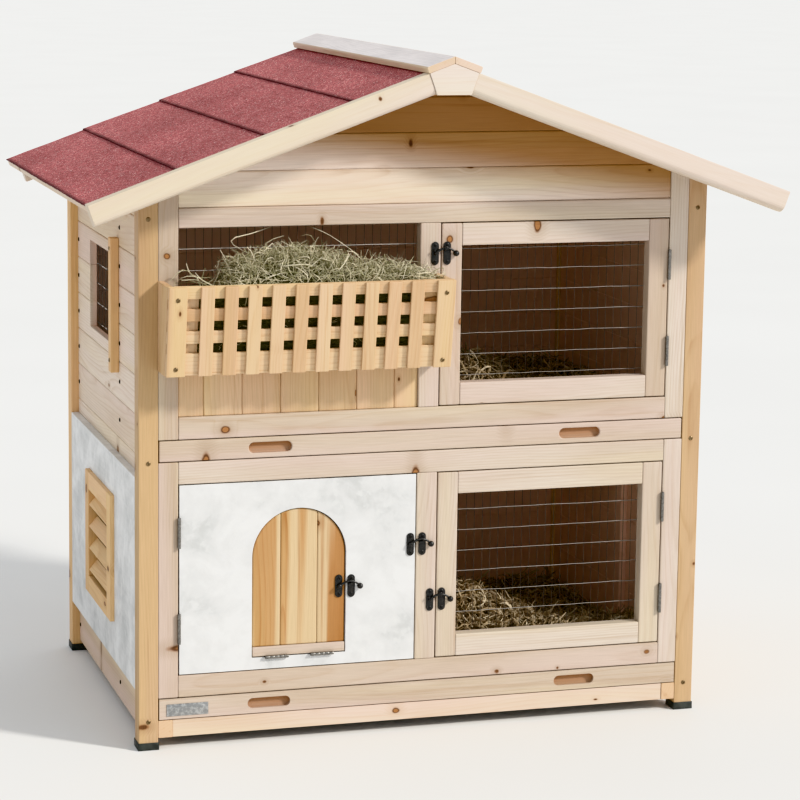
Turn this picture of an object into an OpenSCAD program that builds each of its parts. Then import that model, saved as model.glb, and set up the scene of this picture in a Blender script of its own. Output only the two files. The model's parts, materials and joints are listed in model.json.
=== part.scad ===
// Two-storey rabbit hutch with a gable roof, mesh doors, an insulated house door,
// pull-out trays and a hay rack. +X to the right, +Y to the back, +Z up, millimetres.
// The origin is on the ground, under the middle of the whole object.

/* [Body] */
// Width over the corner posts
body_w = 1060; // [1020:10:1120]
// Depth over the corner posts
body_d = 700; // [640:10:760]
// Side of a square corner post
post = 35; // [34:1:38]
// Thickness of the wall boards
board_t = 14; // [12:1:15]
// How far the wall boards stand back from the post faces
recess = 15; // [14:1:16]
// Cover width of a wall board
board_h = 71; // [65:1:80]
// Cover width of a gable board
gable_board_h = 63; // [60:1:70]

/* [Front] */
// Thickness of the front frames and of the doors
frame_t = 25; // [24:1:28]
// Width of the outer stiles
stile_w = 36; // [34:1:40]
// Width of the middle stile
mid_stile_w = 38; // [36:1:42]
// Height of a frame rail and of a tray front
rail_h = 40; // [38:1:42]
// Clear height of the lower openings
lower_open_h = 347; // [330:1:360]
// Clear height of the upper openings
upper_open_h = 333; // [320:1:350]
// Height of the head rail
head_rail_h = 35; // [32:1:40]
// Underside of the base board above the ground
base_z = 21; // [18:1:24]
// Height of the base board and the runners
base_h = 32; // [30:1:34]
// Gap round a door
door_gap = 2; // [2:0.1:2.5]

/* [Roof] */
// Slope of the roof
roof_pitch = 20; // [18:1:22]
// Top of the roof deck at the ridge
apex_z = 1216; // [1200:1:1230]
// Half the width of the roof, measured level
roof_half_w = 640; // [620:5:650]
// Overhang of the deck in front of the posts
front_eaves = 90; // [70:5:100]
// Overhang of the deck behind the posts
back_eaves = 75; // [60:5:90]
// Thickness of the roof deck
deck_t = 12; // [10:1:14]
// Depth of a bargeboard square to the slope
barge_h = 40; // [36:1:44]
// Thickness of a front bargeboard
barge_t = 28; // [24:1:30]

/* [Hay rack] */
// Underside of the hay rack
rack_z = 684; // [680:1:690]
// Height of the hay rack
rack_h = 158; // [150:1:160]
// Depth of the hay rack at the top
rack_top_d = 95; // [90:1:100]
// Depth of the hay rack at the bottom
rack_bottom_d = 70; // [65:1:75]
// Number of narrow front slats
rack_slats = 10; // [8:1:11]

/* [Hidden] */
$fn = 48;
seam = 0.25;                    // hairline between fixed pieces that touch
run_gap = 0.4;                  // clearance between pieces that move past each other
far = 2000;                     // longer than any piece

half_w = body_w / 2;
front_end = front_eaves + barge_t + 3;        // ridge cap, measured from the posts
front_y = -(body_d + back_eaves + 3 - front_end) / 2;
inner_post_x = half_w - post;
stile_x = inner_post_x - stile_w;             // clear half width of the front frames
wall_x = half_w - recess;                     // outer face of the side walls
tray_half_w = inner_post_x - 2;

tray1_z = base_z + base_h;
frame1_z = tray1_z + rail_h;
open1_z = frame1_z + rail_h;
rail1_z = open1_z + lower_open_h;
tray2_z = rail1_z + rail_h;
frame2_z = tray2_z + rail_h;
open2_z = frame2_z + rail_h;
head_z = open2_z + upper_open_h;
gable_z = head_z + head_rail_h;

foot_h = 14;
foot_sole = 4;                  // solid rubber under the post
groove = 1.6;                   // chamfer beside a board joint
runner_w = 26;
runner_y = body_d - recess - board_t - seam;  // back end of the runners

barge_top = 5;                  // top edge of a bargeboard above the deck
barge_round = 14;               // rounded lower front edge
barge_u = 46;                   // start of a bargeboard, measured down the slope
roof_len = (roof_half_w - barge_top * sin(roof_pitch)) / cos(roof_pitch);
felt_strips = 4;
felt_step = 165;                // exposed width of a felt strip
felt_lap = 14;
felt_t = 2;
cap_w = 48;
cap_t = 12;

hinge_r = 3;
pin_r = 1.3;
bore_r = 1.36;
hinge_y = -4;                   // hinge axis in front of the posts' face
hinge_len = 55;
small_hinge_len = 43;
leaf_t = 0.7;
leaf_d = 20;
hinge_inset = 59;               // door corner to the near end of its hinge

door_edge_x = mid_stile_w / 2 + door_gap;     // free edge of every door
door_hinge_x = stile_x - door_gap / 2;
door_stile_w = 38;
wire = 1.8;
wire_pitch_x = 15.4;
wire_pitch_z = 38.4;
mesh_lap = 10;

arch_x = -(stile_x - 221.5);    // middle of the pop door
arch_w = 174;
arch_bottom = 156.5;
arch_spring = 340;
arch_gap = 1.5;
arch_board_y = 3;
arch_axis_z = arch_bottom + door_gap / 2;
arch_rail_h = 17;

plate_w = 14;
plate_h = 42;
plate_t = 2;
plate_pitch = 22.5;             // between the two plates of a latch
lever_y = -7;                   // front face of a lever's arm
lever_t = 4;
lever_w = 4.5;
lever_r = 24;                   // the arm is a bow of this radius
lever_span = 38;
lever_drop = sqrt(lever_r * lever_r - lever_span * lever_span / 4);
lever_top = lever_r - lever_drop;             // rise of the bow above its ends
knob_r = 5.5;
rivet_r = 2;
stud_y = -8;                    // front end of the studs and keepers
upper_latch_z = head_z - 55;
lower_latch_z = open1_z + 111;
house_latch_z = open1_z + 216;
arch_latch_z = 279;
left_plate_x = 8;               // left plate of a mesh door's latch, on the middle stile
house_plate_x = -door_edge_x - 9.5;
arch_plate_x = arch_x + arch_w / 2 - 13;

window_y0 = 314;
window_y1 = 538;
window_z0 = 682;
window_z1 = 850;
batten_y = 259;                 // middle of the upright batten in front of the window
batten_w = 22;
panel_z0 = 103;
panel_z1 = 490;
vent_w = 250;
vent_h = 238;
vent_bar = 34;
vent_z = (panel_z0 + panel_z1) / 2;
vent_proud = 8;                 // vent frame in front of the post faces
vent_slats = 4;

pan_wall = 2.5;
pan_h = 33;
pan_back_y = 655;
tray_board_t = 20;
grip_w = 79;
grip_h = 19;
grip_depth = 9;
grip_x = 292;

partition_t = 12;
infill_h = 100;
infill_pitch = 70;

rack_x0 = -half_w + 34;
rack_x1 = door_edge_x - 3;
rack_w = rack_x1 - rack_x0;
rack_lean = atan((rack_top_d - rack_bottom_d) / rack_h);
rack_front_h = rack_h / cos(rack_lean);
rack_slat_t = 6;
rack_slat_w = 24;
rack_end_slat_w = 33;
rack_pitch = (rack_w - 2 * 69) / (rack_slats - 1);
rack_rail_bottoms = [0, 57.5, 97.5, 137.5];
rack_rail_tops = [40, 80, 120, 160];
rack_board_t = 12;

pine = [0.90, 0.78, 0.62];
warm_pine = [0.86, 0.68, 0.46];
white = [0.92, 0.92, 0.91];
felt_red = [0.65, 0.33, 0.35];
black = [0.12, 0.12, 0.12];
steel = [0.62, 0.63, 0.64];

// ---- helpers -------------------------------------------------------------------

// Moves the front plane of the posts from y = 0 to its place in the whole object.
module placed() {
    translate([0, front_y, 0])
        children();
}

// A box between two corners.
module block(low, high) {
    translate(low)
        cube(high - low);
}

// An outline in X and Z, extruded from y0 to y1.
module slab_y(y0, y1) {
    translate([0, y1, 0])
        rotate([90, 0, 0])
            linear_extrude(y1 - y0)
                children();
}

// An outline in Y and Z, extruded from x0 to x1.
module slab_x(x0, x1) {
    translate([x0, 0, 0])
        rotate([90, 0, 90])
            linear_extrude(x1 - x0)
                children();
}

// Underside of the roof deck.
function under_roof(x) = apex_z - deck_t / cos(roof_pitch) - abs(x) * tan(roof_pitch) - seam;

// Everything that lies under the roof deck.
module below_roof() {
    slab_y(-far, far)
        polygon([[-far, 0], [far, 0], [far, under_roof(far)], [0, under_roof(0)],
                 [-far, under_roof(far)]]);
}

// Section of a board: x is its depth from the outer face, y its height.
module board_section(h, t = board_t) {
    polygon([[groove, 0], [t, 0], [t, h], [groove, h], [0, h - groove], [0, groove]]);
}

// Level boards along X with their outer face at y, facing out along -dir.
module level_boards(x0, x1, y, z0, z1, pitch, dir = 1) {
    for (z = [z0 : pitch : z1])
        intersection() {
            translate([0, y, z])
                mirror([0, dir < 0 ? 1 : 0, 0])
                    slab_x(x0, x1)
                        board_section(min(pitch, z1 - z) - seam);
            below_roof();
        }
}

// Level boards of a side wall; side is -1 on the left and 1 on the right.
module side_boards(side, z0 = base_z) {
    for (z = [z0 : board_h : under_roof(wall_x)])
        intersection() {
            translate([side * wall_x, 0, z])
                mirror([side > 0 ? 1 : 0, 0, 0])
                    slab_y(post + seam, body_d - post - seam)
                        board_section(board_h - seam);
            below_roof();
        }
}

// Welded wire mesh in the plane y, as square wires that meet in one sheet.
module mesh_panel(x0, x1, z0, z1, y) {
    middle = (x0 + x1) / 2;
    columns = floor((x1 - x0 - wire) / 2 / wire_pitch_x);
    rows = floor((z1 - z0 - wire) / wire_pitch_z);
    first_z = z0 + (z1 - z0 - rows * wire_pitch_z) / 2;
    for (i = [-columns : columns])
        translate([middle + i * wire_pitch_x - wire / 2, y, z0])
            cube([wire, wire, z1 - z0]);
    for (j = [0 : rows])
        translate([x0, y, first_z + j * wire_pitch_z - wire / 2])
            cube([x1 - x0, wire, wire]);
}

// Flat plate with round ends, standing up, centred on the origin.
module stadium(w, h) {
    square([w, h - w], center = true);
    for (s = [-1, 1])
        translate([0, s * (h - w) / 2])
            circle(d = w);
}

// ---- hinges --------------------------------------------------------------------
// A hinge stands along Z on its axis, from 0 to len. The wood starts at y = 0 in front
// coordinates, which is -hinge_y behind the axis. The moving leaf is on the -X side.

// Knuckles of one leaf: the fixed leaf has the three even ones, the moving leaf two odd ones.
module knuckles(len, moving) {
    step = len / 5;
    for (i = [0 : 4])
        if ((i % 2 == 1) == moving)
            translate([0, 0, i * step + (i == 0 ? 0 : run_gap / 2)])
                difference() {
                    height = step - run_gap / (i == 0 || i == 4 ? 2 : 1);
                    union() {
                        cylinder(r = hinge_r, h = height);
                        translate([leaf_x(moving), 0, 0])
                            cube([leaf_t, -hinge_y, height]);
                    }
                    translate([0, 0, -1])
                        cylinder(r = bore_r, h = height + 2);
                }
}

function leaf_x(moving) = moving ? -0.2 - leaf_t : 0.2;

// One leaf with its knuckles, lying in the gap between door and frame.
module hinge_leaf(len, moving) {
    knuckles(len, moving);
    translate([leaf_x(moving), -hinge_y - 0.4, 0])
        cube([leaf_t, leaf_d, len]);
}

module hinge_pin(len) {
    translate([0, 0, -0.6])
        cylinder(r = pin_r, h = len + 1.2);
}

// Places a hinge at each end of a door edge. hand is 1 where the frame is to the right.
module on_door_edge(x, z0, z1, hand) {
    for (z = [z0 + hinge_inset, z1 - hinge_inset - hinge_len])
        translate([x, hinge_y, z])
            mirror([hand < 0 ? 1 : 0, 0, 0])
                children();
}

// Places a hinge on each half of the pop door's bottom edge, moving leaf on top.
module on_pop_edge() {
    for (x = [-63, 21])
        translate([arch_x + x, hinge_y, arch_axis_z])
            rotate([0, 90, 0])
                children();
}

// ---- latches -------------------------------------------------------------------

// Backing plate of a latch, with its middle at (x, z) on the face y.
module latch_plate(x, z, y = 0) {
    translate([x, 0, z])
        slab_y(y - plate_t, y - 0.1)
            stadium(plate_w, plate_h);
}

// Round stud standing out of a plate on the face y.
module stud(x, z, y = 0) {
    translate([x, stud_y, z])
        rotate([-90, 0, 0])
            cylinder(r = rivet_r, h = y - plate_t - 0.05 - stud_y);
}

// Stud with a flat head that keeps the lever on it.
module rivet(x, z, y = 0) {
    stud(x, z, y);
    translate([x, stud_y - 0.4, z])
        rotate([-90, 0, 0])
            cylinder(r = rivet_r + 1.4, h = 1);
}

// Bowed arm with a ball at its right end. (x, z) is the middle of the left plate.
// pivot is 0 at the left end or 1 at the top of the bow.
module lever(x, z, pivot) {
    pivot_x = pivot * lever_span / 2;
    pivot_z = pivot * lever_top;
    color(black)
        translate([x, 0, z]) {
            difference() {
                slab_y(lever_y, lever_y + lever_t) {
                    intersection() {
                        translate([lever_span / 2, -lever_drop])
                            difference() {
                                circle(r = lever_r + lever_w / 2);
                                circle(r = lever_r - lever_w / 2);
                            }
                        translate([0, -0.8])
                            square([lever_span - 1, lever_r]);
                    }
                    translate([pivot_x, pivot_z])
                        circle(r = 4.6);
                    circle(r = 3.2);
                }
                translate([pivot_x, -far / 2, pivot_z])
                    rotate([-90, 0, 0])
                        cylinder(r = rivet_r + 0.06, h = far);
            }
            translate([lever_span, lever_y + 1, 0])
                sphere(r = knob_r);
        }
}

// ---- carcass -------------------------------------------------------------------

module posts(y) {
    color(warm_pine)
        placed()
            for (s = [-1, 1])
                intersection() {
                    translate([s * (half_w - post / 2) - post / 2, y, foot_sole])
                        cube([post, post, far]);
                    below_roof();
                }
}

module front_posts() {
    posts(0);
}

module back_posts() {
    posts(body_d - post);
}

module foot_caps() {
    wall = 1.4;
    outer = post + 2 * wall + 0.2;
    color(black)
        placed()
            for (s = [-1, 1], y = [post / 2, body_d - post / 2])
                translate([s * (half_w - post / 2), y, 0])
                    difference() {
                        translate([-outer / 2, -outer / 2, 0])
                            cube([outer, outer, foot_h]);
                        translate([-post / 2 - 0.1, -post / 2 - 0.1, foot_sole])
                            cube([post + 0.2, post + 0.2, foot_h]);
                    }
}

module base_board() {
    x = inner_post_x - runner_w - 2 * seam;
    color(warm_pine)
        placed()
            block([-x, 2, base_z], [x, 20, tray1_z - 0.5]);
}

// Runners under both trays, fixed to the inner faces of the posts.
module tray_runners() {
    x = inner_post_x - seam;
    color(warm_pine)
        placed()
            for (s = [-1, 1]) {
                low = min(s * x, s * (x - runner_w));
                block([low, 0.5, base_z], [low + runner_w, runner_y, tray1_z - 0.5]);
                block([low, frame_t + 1, tray2_z - 26], [low + runner_w, runner_y, tray2_z - 0.5]);
            }
}

// Outer stiles from z0 up to z1 and a middle stile between the rails.
module stiles(z0, z1, mid0, mid1) {
    placed()
        intersection() {
            union() {
                for (s = [-1, 1])
                    block([min(s * stile_x, s * (inner_post_x - seam)), 0, z0],
                          [max(s * stile_x, s * (inner_post_x - seam)), frame_t, z1]);
                block([-mid_stile_w / 2, 0, mid0 + seam], [mid_stile_w / 2, frame_t, mid1 - seam]);
            }
            below_roof();
        }
}

module frame_rail(z0, z1) {
    x = stile_x - seam;
    placed()
        block([-x, 0, z0], [x, frame_t, z1]);
}

module lower_frame_stiles() {
    color(pine)
        stiles(frame1_z + seam, tray2_z - seam, open1_z, rail1_z);
}

module lower_frame_rails() {
    color(pine) {
        frame_rail(frame1_z + seam, open1_z);
        frame_rail(rail1_z, tray2_z - seam);
    }
}

module upper_frame_stiles() {
    color(pine)
        stiles(frame2_z + seam, far, open2_z, head_z);
}

module upper_frame_rails() {
    color(pine) {
        frame_rail(frame2_z + seam, open2_z);
        frame_rail(head_z, gable_z - seam);
    }
}

module front_gable_boards() {
    color(pine)
        placed()
            level_boards(-stile_x + seam, stile_x - seam, 3, gable_z, under_roof(0), gable_board_h);
}

module back_wall_boards() {
    color(pine)
        placed()
            level_boards(-inner_post_x + seam, inner_post_x - seam, body_d - recess, base_z,
                         under_roof(0), board_h, -1);
}

// Holes through the left wall: the mesh window and the vent.
module side_holes() {
    y = body_d / 2;
    block([-half_w - far, window_y0, window_z0], [-wall_x + board_t + 1, window_y1, window_z1]);
    block([-half_w - far, y - vent_w / 2 + vent_bar, vent_z - vent_h / 2 + vent_bar],
          [-wall_x + board_t + 1, y + vent_w / 2 - vent_bar, vent_z + vent_h / 2 - vent_bar]);
}

module left_wall_boards() {
    color(pine)
        placed()
            difference() {
                side_boards(-1);
                side_holes();
            }
}

module right_wall_boards() {
    color(pine)
        placed()
            side_boards(1);
}

// Upright boards that close the opening under the hay rack.
module infill_boards() {
    x0 = -stile_x + seam;
    x1 = -mid_stile_w / 2 - seam;
    first = 46;
    color(pine)
        placed()
            for (i = [0 : ceil((x1 - x0 - first) / infill_pitch)]) {
                low = i == 0 ? x0 : x0 + first + (i - 1) * infill_pitch;
                high = min(x1, x0 + first + i * infill_pitch - seam);
                translate([low, 5, open2_z + seam])
                    linear_extrude(infill_h)
                        mirror([1, 0, 0])
                            rotate(90)
                                board_section(high - low);
            }
}

// Wall between the sleeping compartment and the lower run, with a doorway at the back.
module partition() {
    door_y = 500;
    door_w = 160;
    color(pine)
        placed()
            slab_x(-partition_t / 2, partition_t / 2)
                difference() {
                    translate([frame_t + 1, frame1_z + 3])
                        square([runner_y - frame_t - 1, tray2_z - frame1_z - 5]);
                    translate([door_y - door_w / 2, frame1_z])
                        square([door_w, 160]);
                    translate([door_y, frame1_z + 159])
                        circle(d = door_w - 0.5);
                }
}

module front_mesh() {
    color(steel)
        placed()
            mesh_panel(-stile_x - mesh_lap, -mid_stile_w / 2 + mesh_lap,
                       open2_z + infill_h - mesh_lap, head_z + mesh_lap, frame_t + seam);
}

module window_mesh() {
    color(steel)
        placed()
            translate([-wall_x + board_t + seam + wire, 0, 0])
                rotate([0, 0, 90])
                    mesh_panel(window_y0 - mesh_lap, window_y1 + mesh_lap,
                               window_z0 - mesh_lap, window_z1 + mesh_lap, 0);
}

module window_batten() {
    color(warm_pine)
        placed()
            block([-half_w - 1, batten_y - batten_w / 2, window_z0 - 42],
                  [-wall_x - seam, batten_y + batten_w / 2, window_z1 + 38]);
}

// Upright batten on the inner side of the right wall, between the two trays.
module inner_batten() {
    x = wall_x - board_t - seam;
    color(warm_pine)
        placed()
            block([x - board_t, 268, frame1_z], [x, 308, tray2_z - 28]);
}

module insulation_panel() {
    y = body_d / 2;
    color(white)
        placed()
            difference() {
                block([-half_w, post + 1, panel_z0], [-wall_x - seam, body_d - post - 1, panel_z1]);
                block([-far, y - vent_w / 2 - seam, vent_z - vent_h / 2 - seam],
                      [0, y + vent_w / 2 + seam, vent_z + vent_h / 2 + seam]);
            }
}

module vent_frame() {
    x0 = -half_w - vent_proud;
    x1 = -wall_x - seam;
    y0 = body_d / 2 - vent_w / 2;
    y1 = y0 + vent_w;
    z0 = vent_z - vent_h / 2;
    z1 = z0 + vent_h;
    color(warm_pine)
        placed() {
            for (y = [y0, y1 - vent_bar])
                block([x0, y, z0], [x1, y + vent_bar, z1]);
            for (z = [z0, z1 - vent_bar])
                block([x0, y0 + vent_bar + seam, z], [x1, y1 - vent_bar - seam, z + vent_bar]);
        }
}

module vent_slats() {
    inner_h = vent_h - 2 * vent_bar;
    inner_w = vent_w - 2 * vent_bar - 2 * seam;
    step = inner_h / vent_slats;
    slat_t = 5;
    color(warm_pine)
        placed()
            for (i = [0 : vent_slats - 1])
                translate([-half_w + 3, (body_d - inner_w) / 2,
                           vent_z - inner_h / 2 + (i + 0.5) * step])
                    rotate([0, 40, 0])
                        translate([-slat_t / 2, 0, -13])
                            cube([slat_t, inner_w, 26]);
}

// ---- roof ----------------------------------------------------------------------

// Slope coordinates: x runs down the slope from the ridge, z stands square to the deck.
module on_slope(side) {
    placed()
        mirror([side < 0 ? 1 : 0, 0, 0])
            translate([0, 0, apex_z])
                rotate([0, roof_pitch, 0])
                    children();
}

module roof_deck(side) {
    inset = deck_t * tan(roof_pitch) + 0.3;
    color(pine)
        on_slope(side)
            slab_y(-front_eaves + seam, body_d + back_eaves)
                polygon([[0.3, 0], [roof_len - 2, 0], [roof_len - 2, -deck_t], [inset, -deck_t]]);
}

module roof_deck_left() {
    roof_deck(-1);
}

module roof_deck_right() {
    roof_deck(1);
}

// Felt strips, each lapped over the one below it.
module roof_felt(side) {
    lift = felt_t + 0.4;
    color(felt_red)
        on_slope(side)
            for (i = [0 : felt_strips - 1]) {
                low = roof_len - i * felt_step;
                high = i == felt_strips - 1 ? 4 : low - felt_step - felt_lap;
                raise = i == 0 ? 0.2 : lift;
                slab_y(-front_eaves + seam, body_d + back_eaves + 1)
                    polygon([[high, 0.2], [low, raise], [low, raise + felt_t],
                             [high, 0.2 + felt_t]]);
            }
}

module roof_felt_left() {
    roof_felt(-1);
}

module roof_felt_right() {
    roof_felt(1);
}

// Two boards over the ridge, mitred along the top.
module ridge_cap() {
    rise = cap_t * tan(roof_pitch);
    z = barge_top + 0.2;
    color(pine)
        for (side = [-1, 1])
            on_slope(side)
                slab_y(-front_end, body_d + back_eaves + 3)
                    polygon([[-z * tan(roof_pitch) + 0.2, z], [cap_w, z], [cap_w, z + cap_t - 2],
                             [cap_w - 2, z + cap_t], [-z * tan(roof_pitch) - rise + 0.2, z + cap_t]]);
}

// Section of a front bargeboard: x is Y from its back face, y is square to the slope.
module barge_section() {
    difference() {
        translate([-barge_t, -barge_h])
            square([barge_t, barge_h]);
        difference() {
            translate([-barge_t - 1, -barge_h - 1])
                square([barge_round + 1, barge_round + 1]);
            translate([-barge_t + barge_round, -barge_h + barge_round])
                circle(r = barge_round);
        }
    }
}

// Front bargeboards with a rounded lower edge, and plain ones under the back of the deck.
module bargeboards() {
    board_end = roof_half_w / cos(roof_pitch) - barge_top * tan(roof_pitch);
    color(pine)
        for (side = [-1, 1])
            on_slope(side) {
                translate([0, -front_eaves, barge_top])
                    slab_x(barge_u, board_end)
                        barge_section();
                slab_y(body_d + back_eaves - 22, body_d + back_eaves - 2)
                    polygon([[deck_t * tan(roof_pitch) + 0.6, -deck_t - seam],
                             [roof_len - 20, -deck_t - seam], [roof_len - 20, -deck_t - barge_h],
                             [(deck_t + barge_h) * tan(roof_pitch) + 0.6, -deck_t - barge_h]]);
            }
}

// Wedge between the upper ends of the front bargeboards.
module keystone() {
    u = barge_u - seam;
    n = barge_top - barge_h;
    function level(a, b) = [a * cos(roof_pitch) + b * sin(roof_pitch),
                            apex_z - a * sin(roof_pitch) + b * cos(roof_pitch)];
    top = level(u, barge_top);
    bottom = level(u, n);
    color(pine)
        placed()
            slab_y(-front_eaves - barge_t - 2, -front_eaves)
                polygon([[0, apex_z + barge_top / cos(roof_pitch)], top, bottom,
                         [-bottom[0], bottom[1]], [-top[0], top[1]]]);
}

// ---- hay rack ------------------------------------------------------------------

// Front of the rack: x along it, y into it, z up its leaning face.
module on_rack_front() {
    placed()
        translate([rack_x0, -rack_bottom_d, rack_z])
            rotate([rack_lean, 0, 0])
                children();
}

module rack_end_panels() {
    back = -seam;
    inset = 2 * rack_slat_t + 2 * seam + 0.4;
    color(warm_pine)
        placed()
            for (x = [rack_x0, rack_x1 - rack_board_t])
                slab_x(x, x + rack_board_t)
                    polygon([[back, rack_z], [back, rack_z + rack_h],
                             [-rack_top_d + inset, rack_z + rack_h],
                             [-rack_bottom_d + inset, rack_z]]);
}

module rack_front_slats() {
    first = 69 - rack_slat_w / 2;
    color(warm_pine)
        on_rack_front() {
            for (x = [0, rack_w - rack_end_slat_w])
                block([x, 0, 0], [x + rack_end_slat_w, rack_slat_t, rack_front_h]);
            for (i = [0 : rack_slats - 1])
                translate([first + i * rack_pitch, 0, 0])
                    cube([rack_slat_w, rack_slat_t, rack_front_h]);
        }
}

module rack_rails() {
    y = rack_slat_t + seam;
    color(warm_pine)
        on_rack_front()
            for (i = [0 : len(rack_rail_tops) - 1])
                block([0.5, y, rack_rail_bottoms[i]],
                      [rack_w - 0.5, y + rack_slat_t, min(rack_rail_tops[i], rack_front_h)]);
}

// Floor board, and an upright board that backs the rails at each end.
module rack_inner_boards() {
    y = 2 * (rack_slat_t + seam);
    inner = rack_board_t + seam;
    width = 44;
    color(warm_pine) {
        placed()
            block([rack_x0 + inner, -rack_bottom_d + y + 1, rack_z],
                  [rack_x1 - inner, -1, rack_z + 10]);
        on_rack_front()
            for (x = [inner, rack_w - inner - width])
                block([x, y, 13], [x + width, y + 8, rack_front_h - 2]);
    }
}

// ---- fixed metal ---------------------------------------------------------------

// Fixed leaves and pins of the door hinges.
module frame_hinges() {
    color(steel)
        placed() {
            on_door_edge(door_hinge_x, open2_z, head_z, 1)
                hinge_with_pin(hinge_len);
            on_door_edge(door_hinge_x, open1_z, rail1_z, 1)
                hinge_with_pin(hinge_len);
            on_door_edge(-door_hinge_x, open1_z, rail1_z, -1)
                hinge_with_pin(hinge_len);
        }
}

module hinge_with_pin(len) {
    hinge_leaf(len, false);
    hinge_pin(len);
}

// Plates on the middle stile: keepers for the mesh doors and for the house door.
module frame_latch_plates() {
    color(black)
        placed() {
            for (z = [upper_latch_z, lower_latch_z]) {
                latch_plate(left_plate_x, z);
                stud(left_plate_x - 2.5, z + 5.4);
            }
            latch_plate(house_plate_x + plate_pitch, house_latch_z);
            keeper(house_plate_x + lever_span / 2, house_latch_z);
        }
}

// Small rest under the top of a bowed lever.
module keeper(x, z) {
    top = z + lever_top - lever_w / 2 - 0.9;
    block([x - 4, stud_y, top - 5], [x + 4, -plate_t - 0.05, top]);
}

// Round screw heads in the posts, the rack and the window batten.
module timber_screws() {
    post_x = half_w - post / 2;
    color(steel) {
        placed() {
            for (s = [-1, 1], z = [open1_z - 81, tray2_z, gable_z - 18])
                screw_head([s * post_x, 0, z]);
            for (z = [window_z0 - 20, window_z1 + 18])
                translate([-half_w - 1, batten_y, z])
                    rotate([0, 0, -90])
                        screw_head([0, 0, 0]);
        }
        on_rack_front()
            for (x = [rack_end_slat_w / 2, rack_w - rack_end_slat_w / 2], z = [14, 138])
                screw_head([x, 0, z]);
    }
}

// Low dome standing out of a face towards -Y.
module screw_head(at) {
    translate(at)
        rotate([90, 0, 0])
            rotate_extrude()
                intersection() {
                    translate([0, -7])
                        circle(r = 8.4);
                    translate([0, 0.05])
                        square([4, 3]);
                }
}

// ---- mesh doors ----------------------------------------------------------------

// Frame of a mesh door between two heights of its opening: two stiles and two rails.
module door_frame(z0, z1) {
    x0 = door_edge_x;
    x1 = stile_x - door_gap;
    low = z0 + door_gap;
    high = z1 - door_gap;
    color(pine)
        placed() {
            for (x = [x0, x1 - door_stile_w])
                block([x, 0, low], [x + door_stile_w, frame_t, high]);
            for (z = [low, high - rail_h])
                block([x0 + door_stile_w + seam, 0, z],
                      [x1 - door_stile_w - seam, frame_t, z + rail_h]);
        }
}

module door_mesh(z0, z1) {
    color(steel)
        placed()
            mesh_panel(door_edge_x + door_stile_w - mesh_lap,
                       stile_x - door_gap - door_stile_w + mesh_lap,
                       z0 + door_gap + rail_h - mesh_lap, z1 - door_gap - rail_h + mesh_lap,
                       frame_t + seam);
}

module door_hinges(z0, z1, hand) {
    color(steel)
        placed()
            on_door_edge(hand * door_hinge_x, z0, z1, hand)
                hinge_leaf(hinge_len, true);
}

// Plate on a mesh door with the rivet that its lever turns on.
module mesh_door_plate(z) {
    color(black)
        placed() {
            latch_plate(left_plate_x + plate_pitch, z);
            rivet(left_plate_x + lever_span / 2, z + lever_top);
        }
}

module upper_door_frame() {
    door_frame(open2_z, head_z);
}

module upper_door_mesh() {
    door_mesh(open2_z, head_z);
}

module upper_door_hinges() {
    door_hinges(open2_z, head_z, 1);
}

module upper_door_latch_plate() {
    mesh_door_plate(upper_latch_z);
}

module upper_latch_lever() {
    placed()
        lever(left_plate_x, upper_latch_z, 1);
}

module lower_door_frame() {
    door_frame(open1_z, rail1_z);
}

module lower_door_mesh() {
    door_mesh(open1_z, rail1_z);
}

module lower_door_hinges() {
    door_hinges(open1_z, rail1_z, 1);
}

module lower_door_latch_plate() {
    mesh_door_plate(lower_latch_z);
}

module lower_latch_lever() {
    placed()
        lever(left_plate_x, lower_latch_z, 1);
}

// ---- house door and pop door ---------------------------------------------------

// Outline of the arched doorway in X and Z, shrunk by gap all round.
module arch_outline(gap = 0) {
    r = arch_w / 2 - gap;
    translate([arch_x - r, arch_bottom + gap])
        square([2 * r, arch_spring - arch_bottom - gap]);
    translate([arch_x, arch_spring])
        circle(r = r, $fn = 96);
}

module house_door_panel() {
    color(white)
        placed()
            slab_y(0, frame_t - 1)
                difference() {
                    translate([-stile_x + door_gap, open1_z + door_gap])
                        square([stile_x - door_gap - door_edge_x, lower_open_h - 2 * door_gap]);
                    arch_outline();
                }
}

// Moving leaves of the house door's own hinges, and the pop door's fixed leaves and pins.
module house_door_hinges() {
    door_hinges(open1_z, rail1_z, -1);
    color(steel)
        placed()
            on_pop_edge()
                hinge_with_pin(small_hinge_len);
}

// Plate and rivet of the door's own lever, and the keeper of the pop door's lever.
module house_door_latch_plates() {
    color(black)
        placed() {
            latch_plate(house_plate_x, house_latch_z);
            rivet(house_plate_x, house_latch_z);
            latch_plate(arch_plate_x + plate_pitch, arch_latch_z);
            keeper(arch_plate_x + lever_span / 2, arch_latch_z);
        }
}

module house_latch_lever() {
    placed()
        lever(house_plate_x, house_latch_z, 0);
}

// Three upright boards cut to the arch.
module pop_door_boards() {
    middle = 68;
    z = arch_bottom + door_gap + arch_rail_h + seam;
    edges = [-arch_w, -middle / 2, middle / 2, arch_w];
    color(warm_pine)
        placed()
            for (i = [0 : 2])
                slab_y(arch_board_y, frame_t - 6)
                    intersection() {
                        arch_outline(arch_gap);
                        translate([arch_x + edges[i] + seam / 2, z])
                            square([edges[i + 1] - edges[i] - seam, arch_spring]);
                    }
}

module pop_door_rail() {
    w = arch_w - 2 * arch_gap;
    color(pine)
        placed()
            translate([arch_x - w / 2, 0.5, arch_bottom + door_gap])
                cube([w, frame_t - 6.5, arch_rail_h]);
}

module pop_door_hinges() {
    color(steel)
        placed()
            on_pop_edge()
                hinge_leaf(small_hinge_len, true);
}

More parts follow.
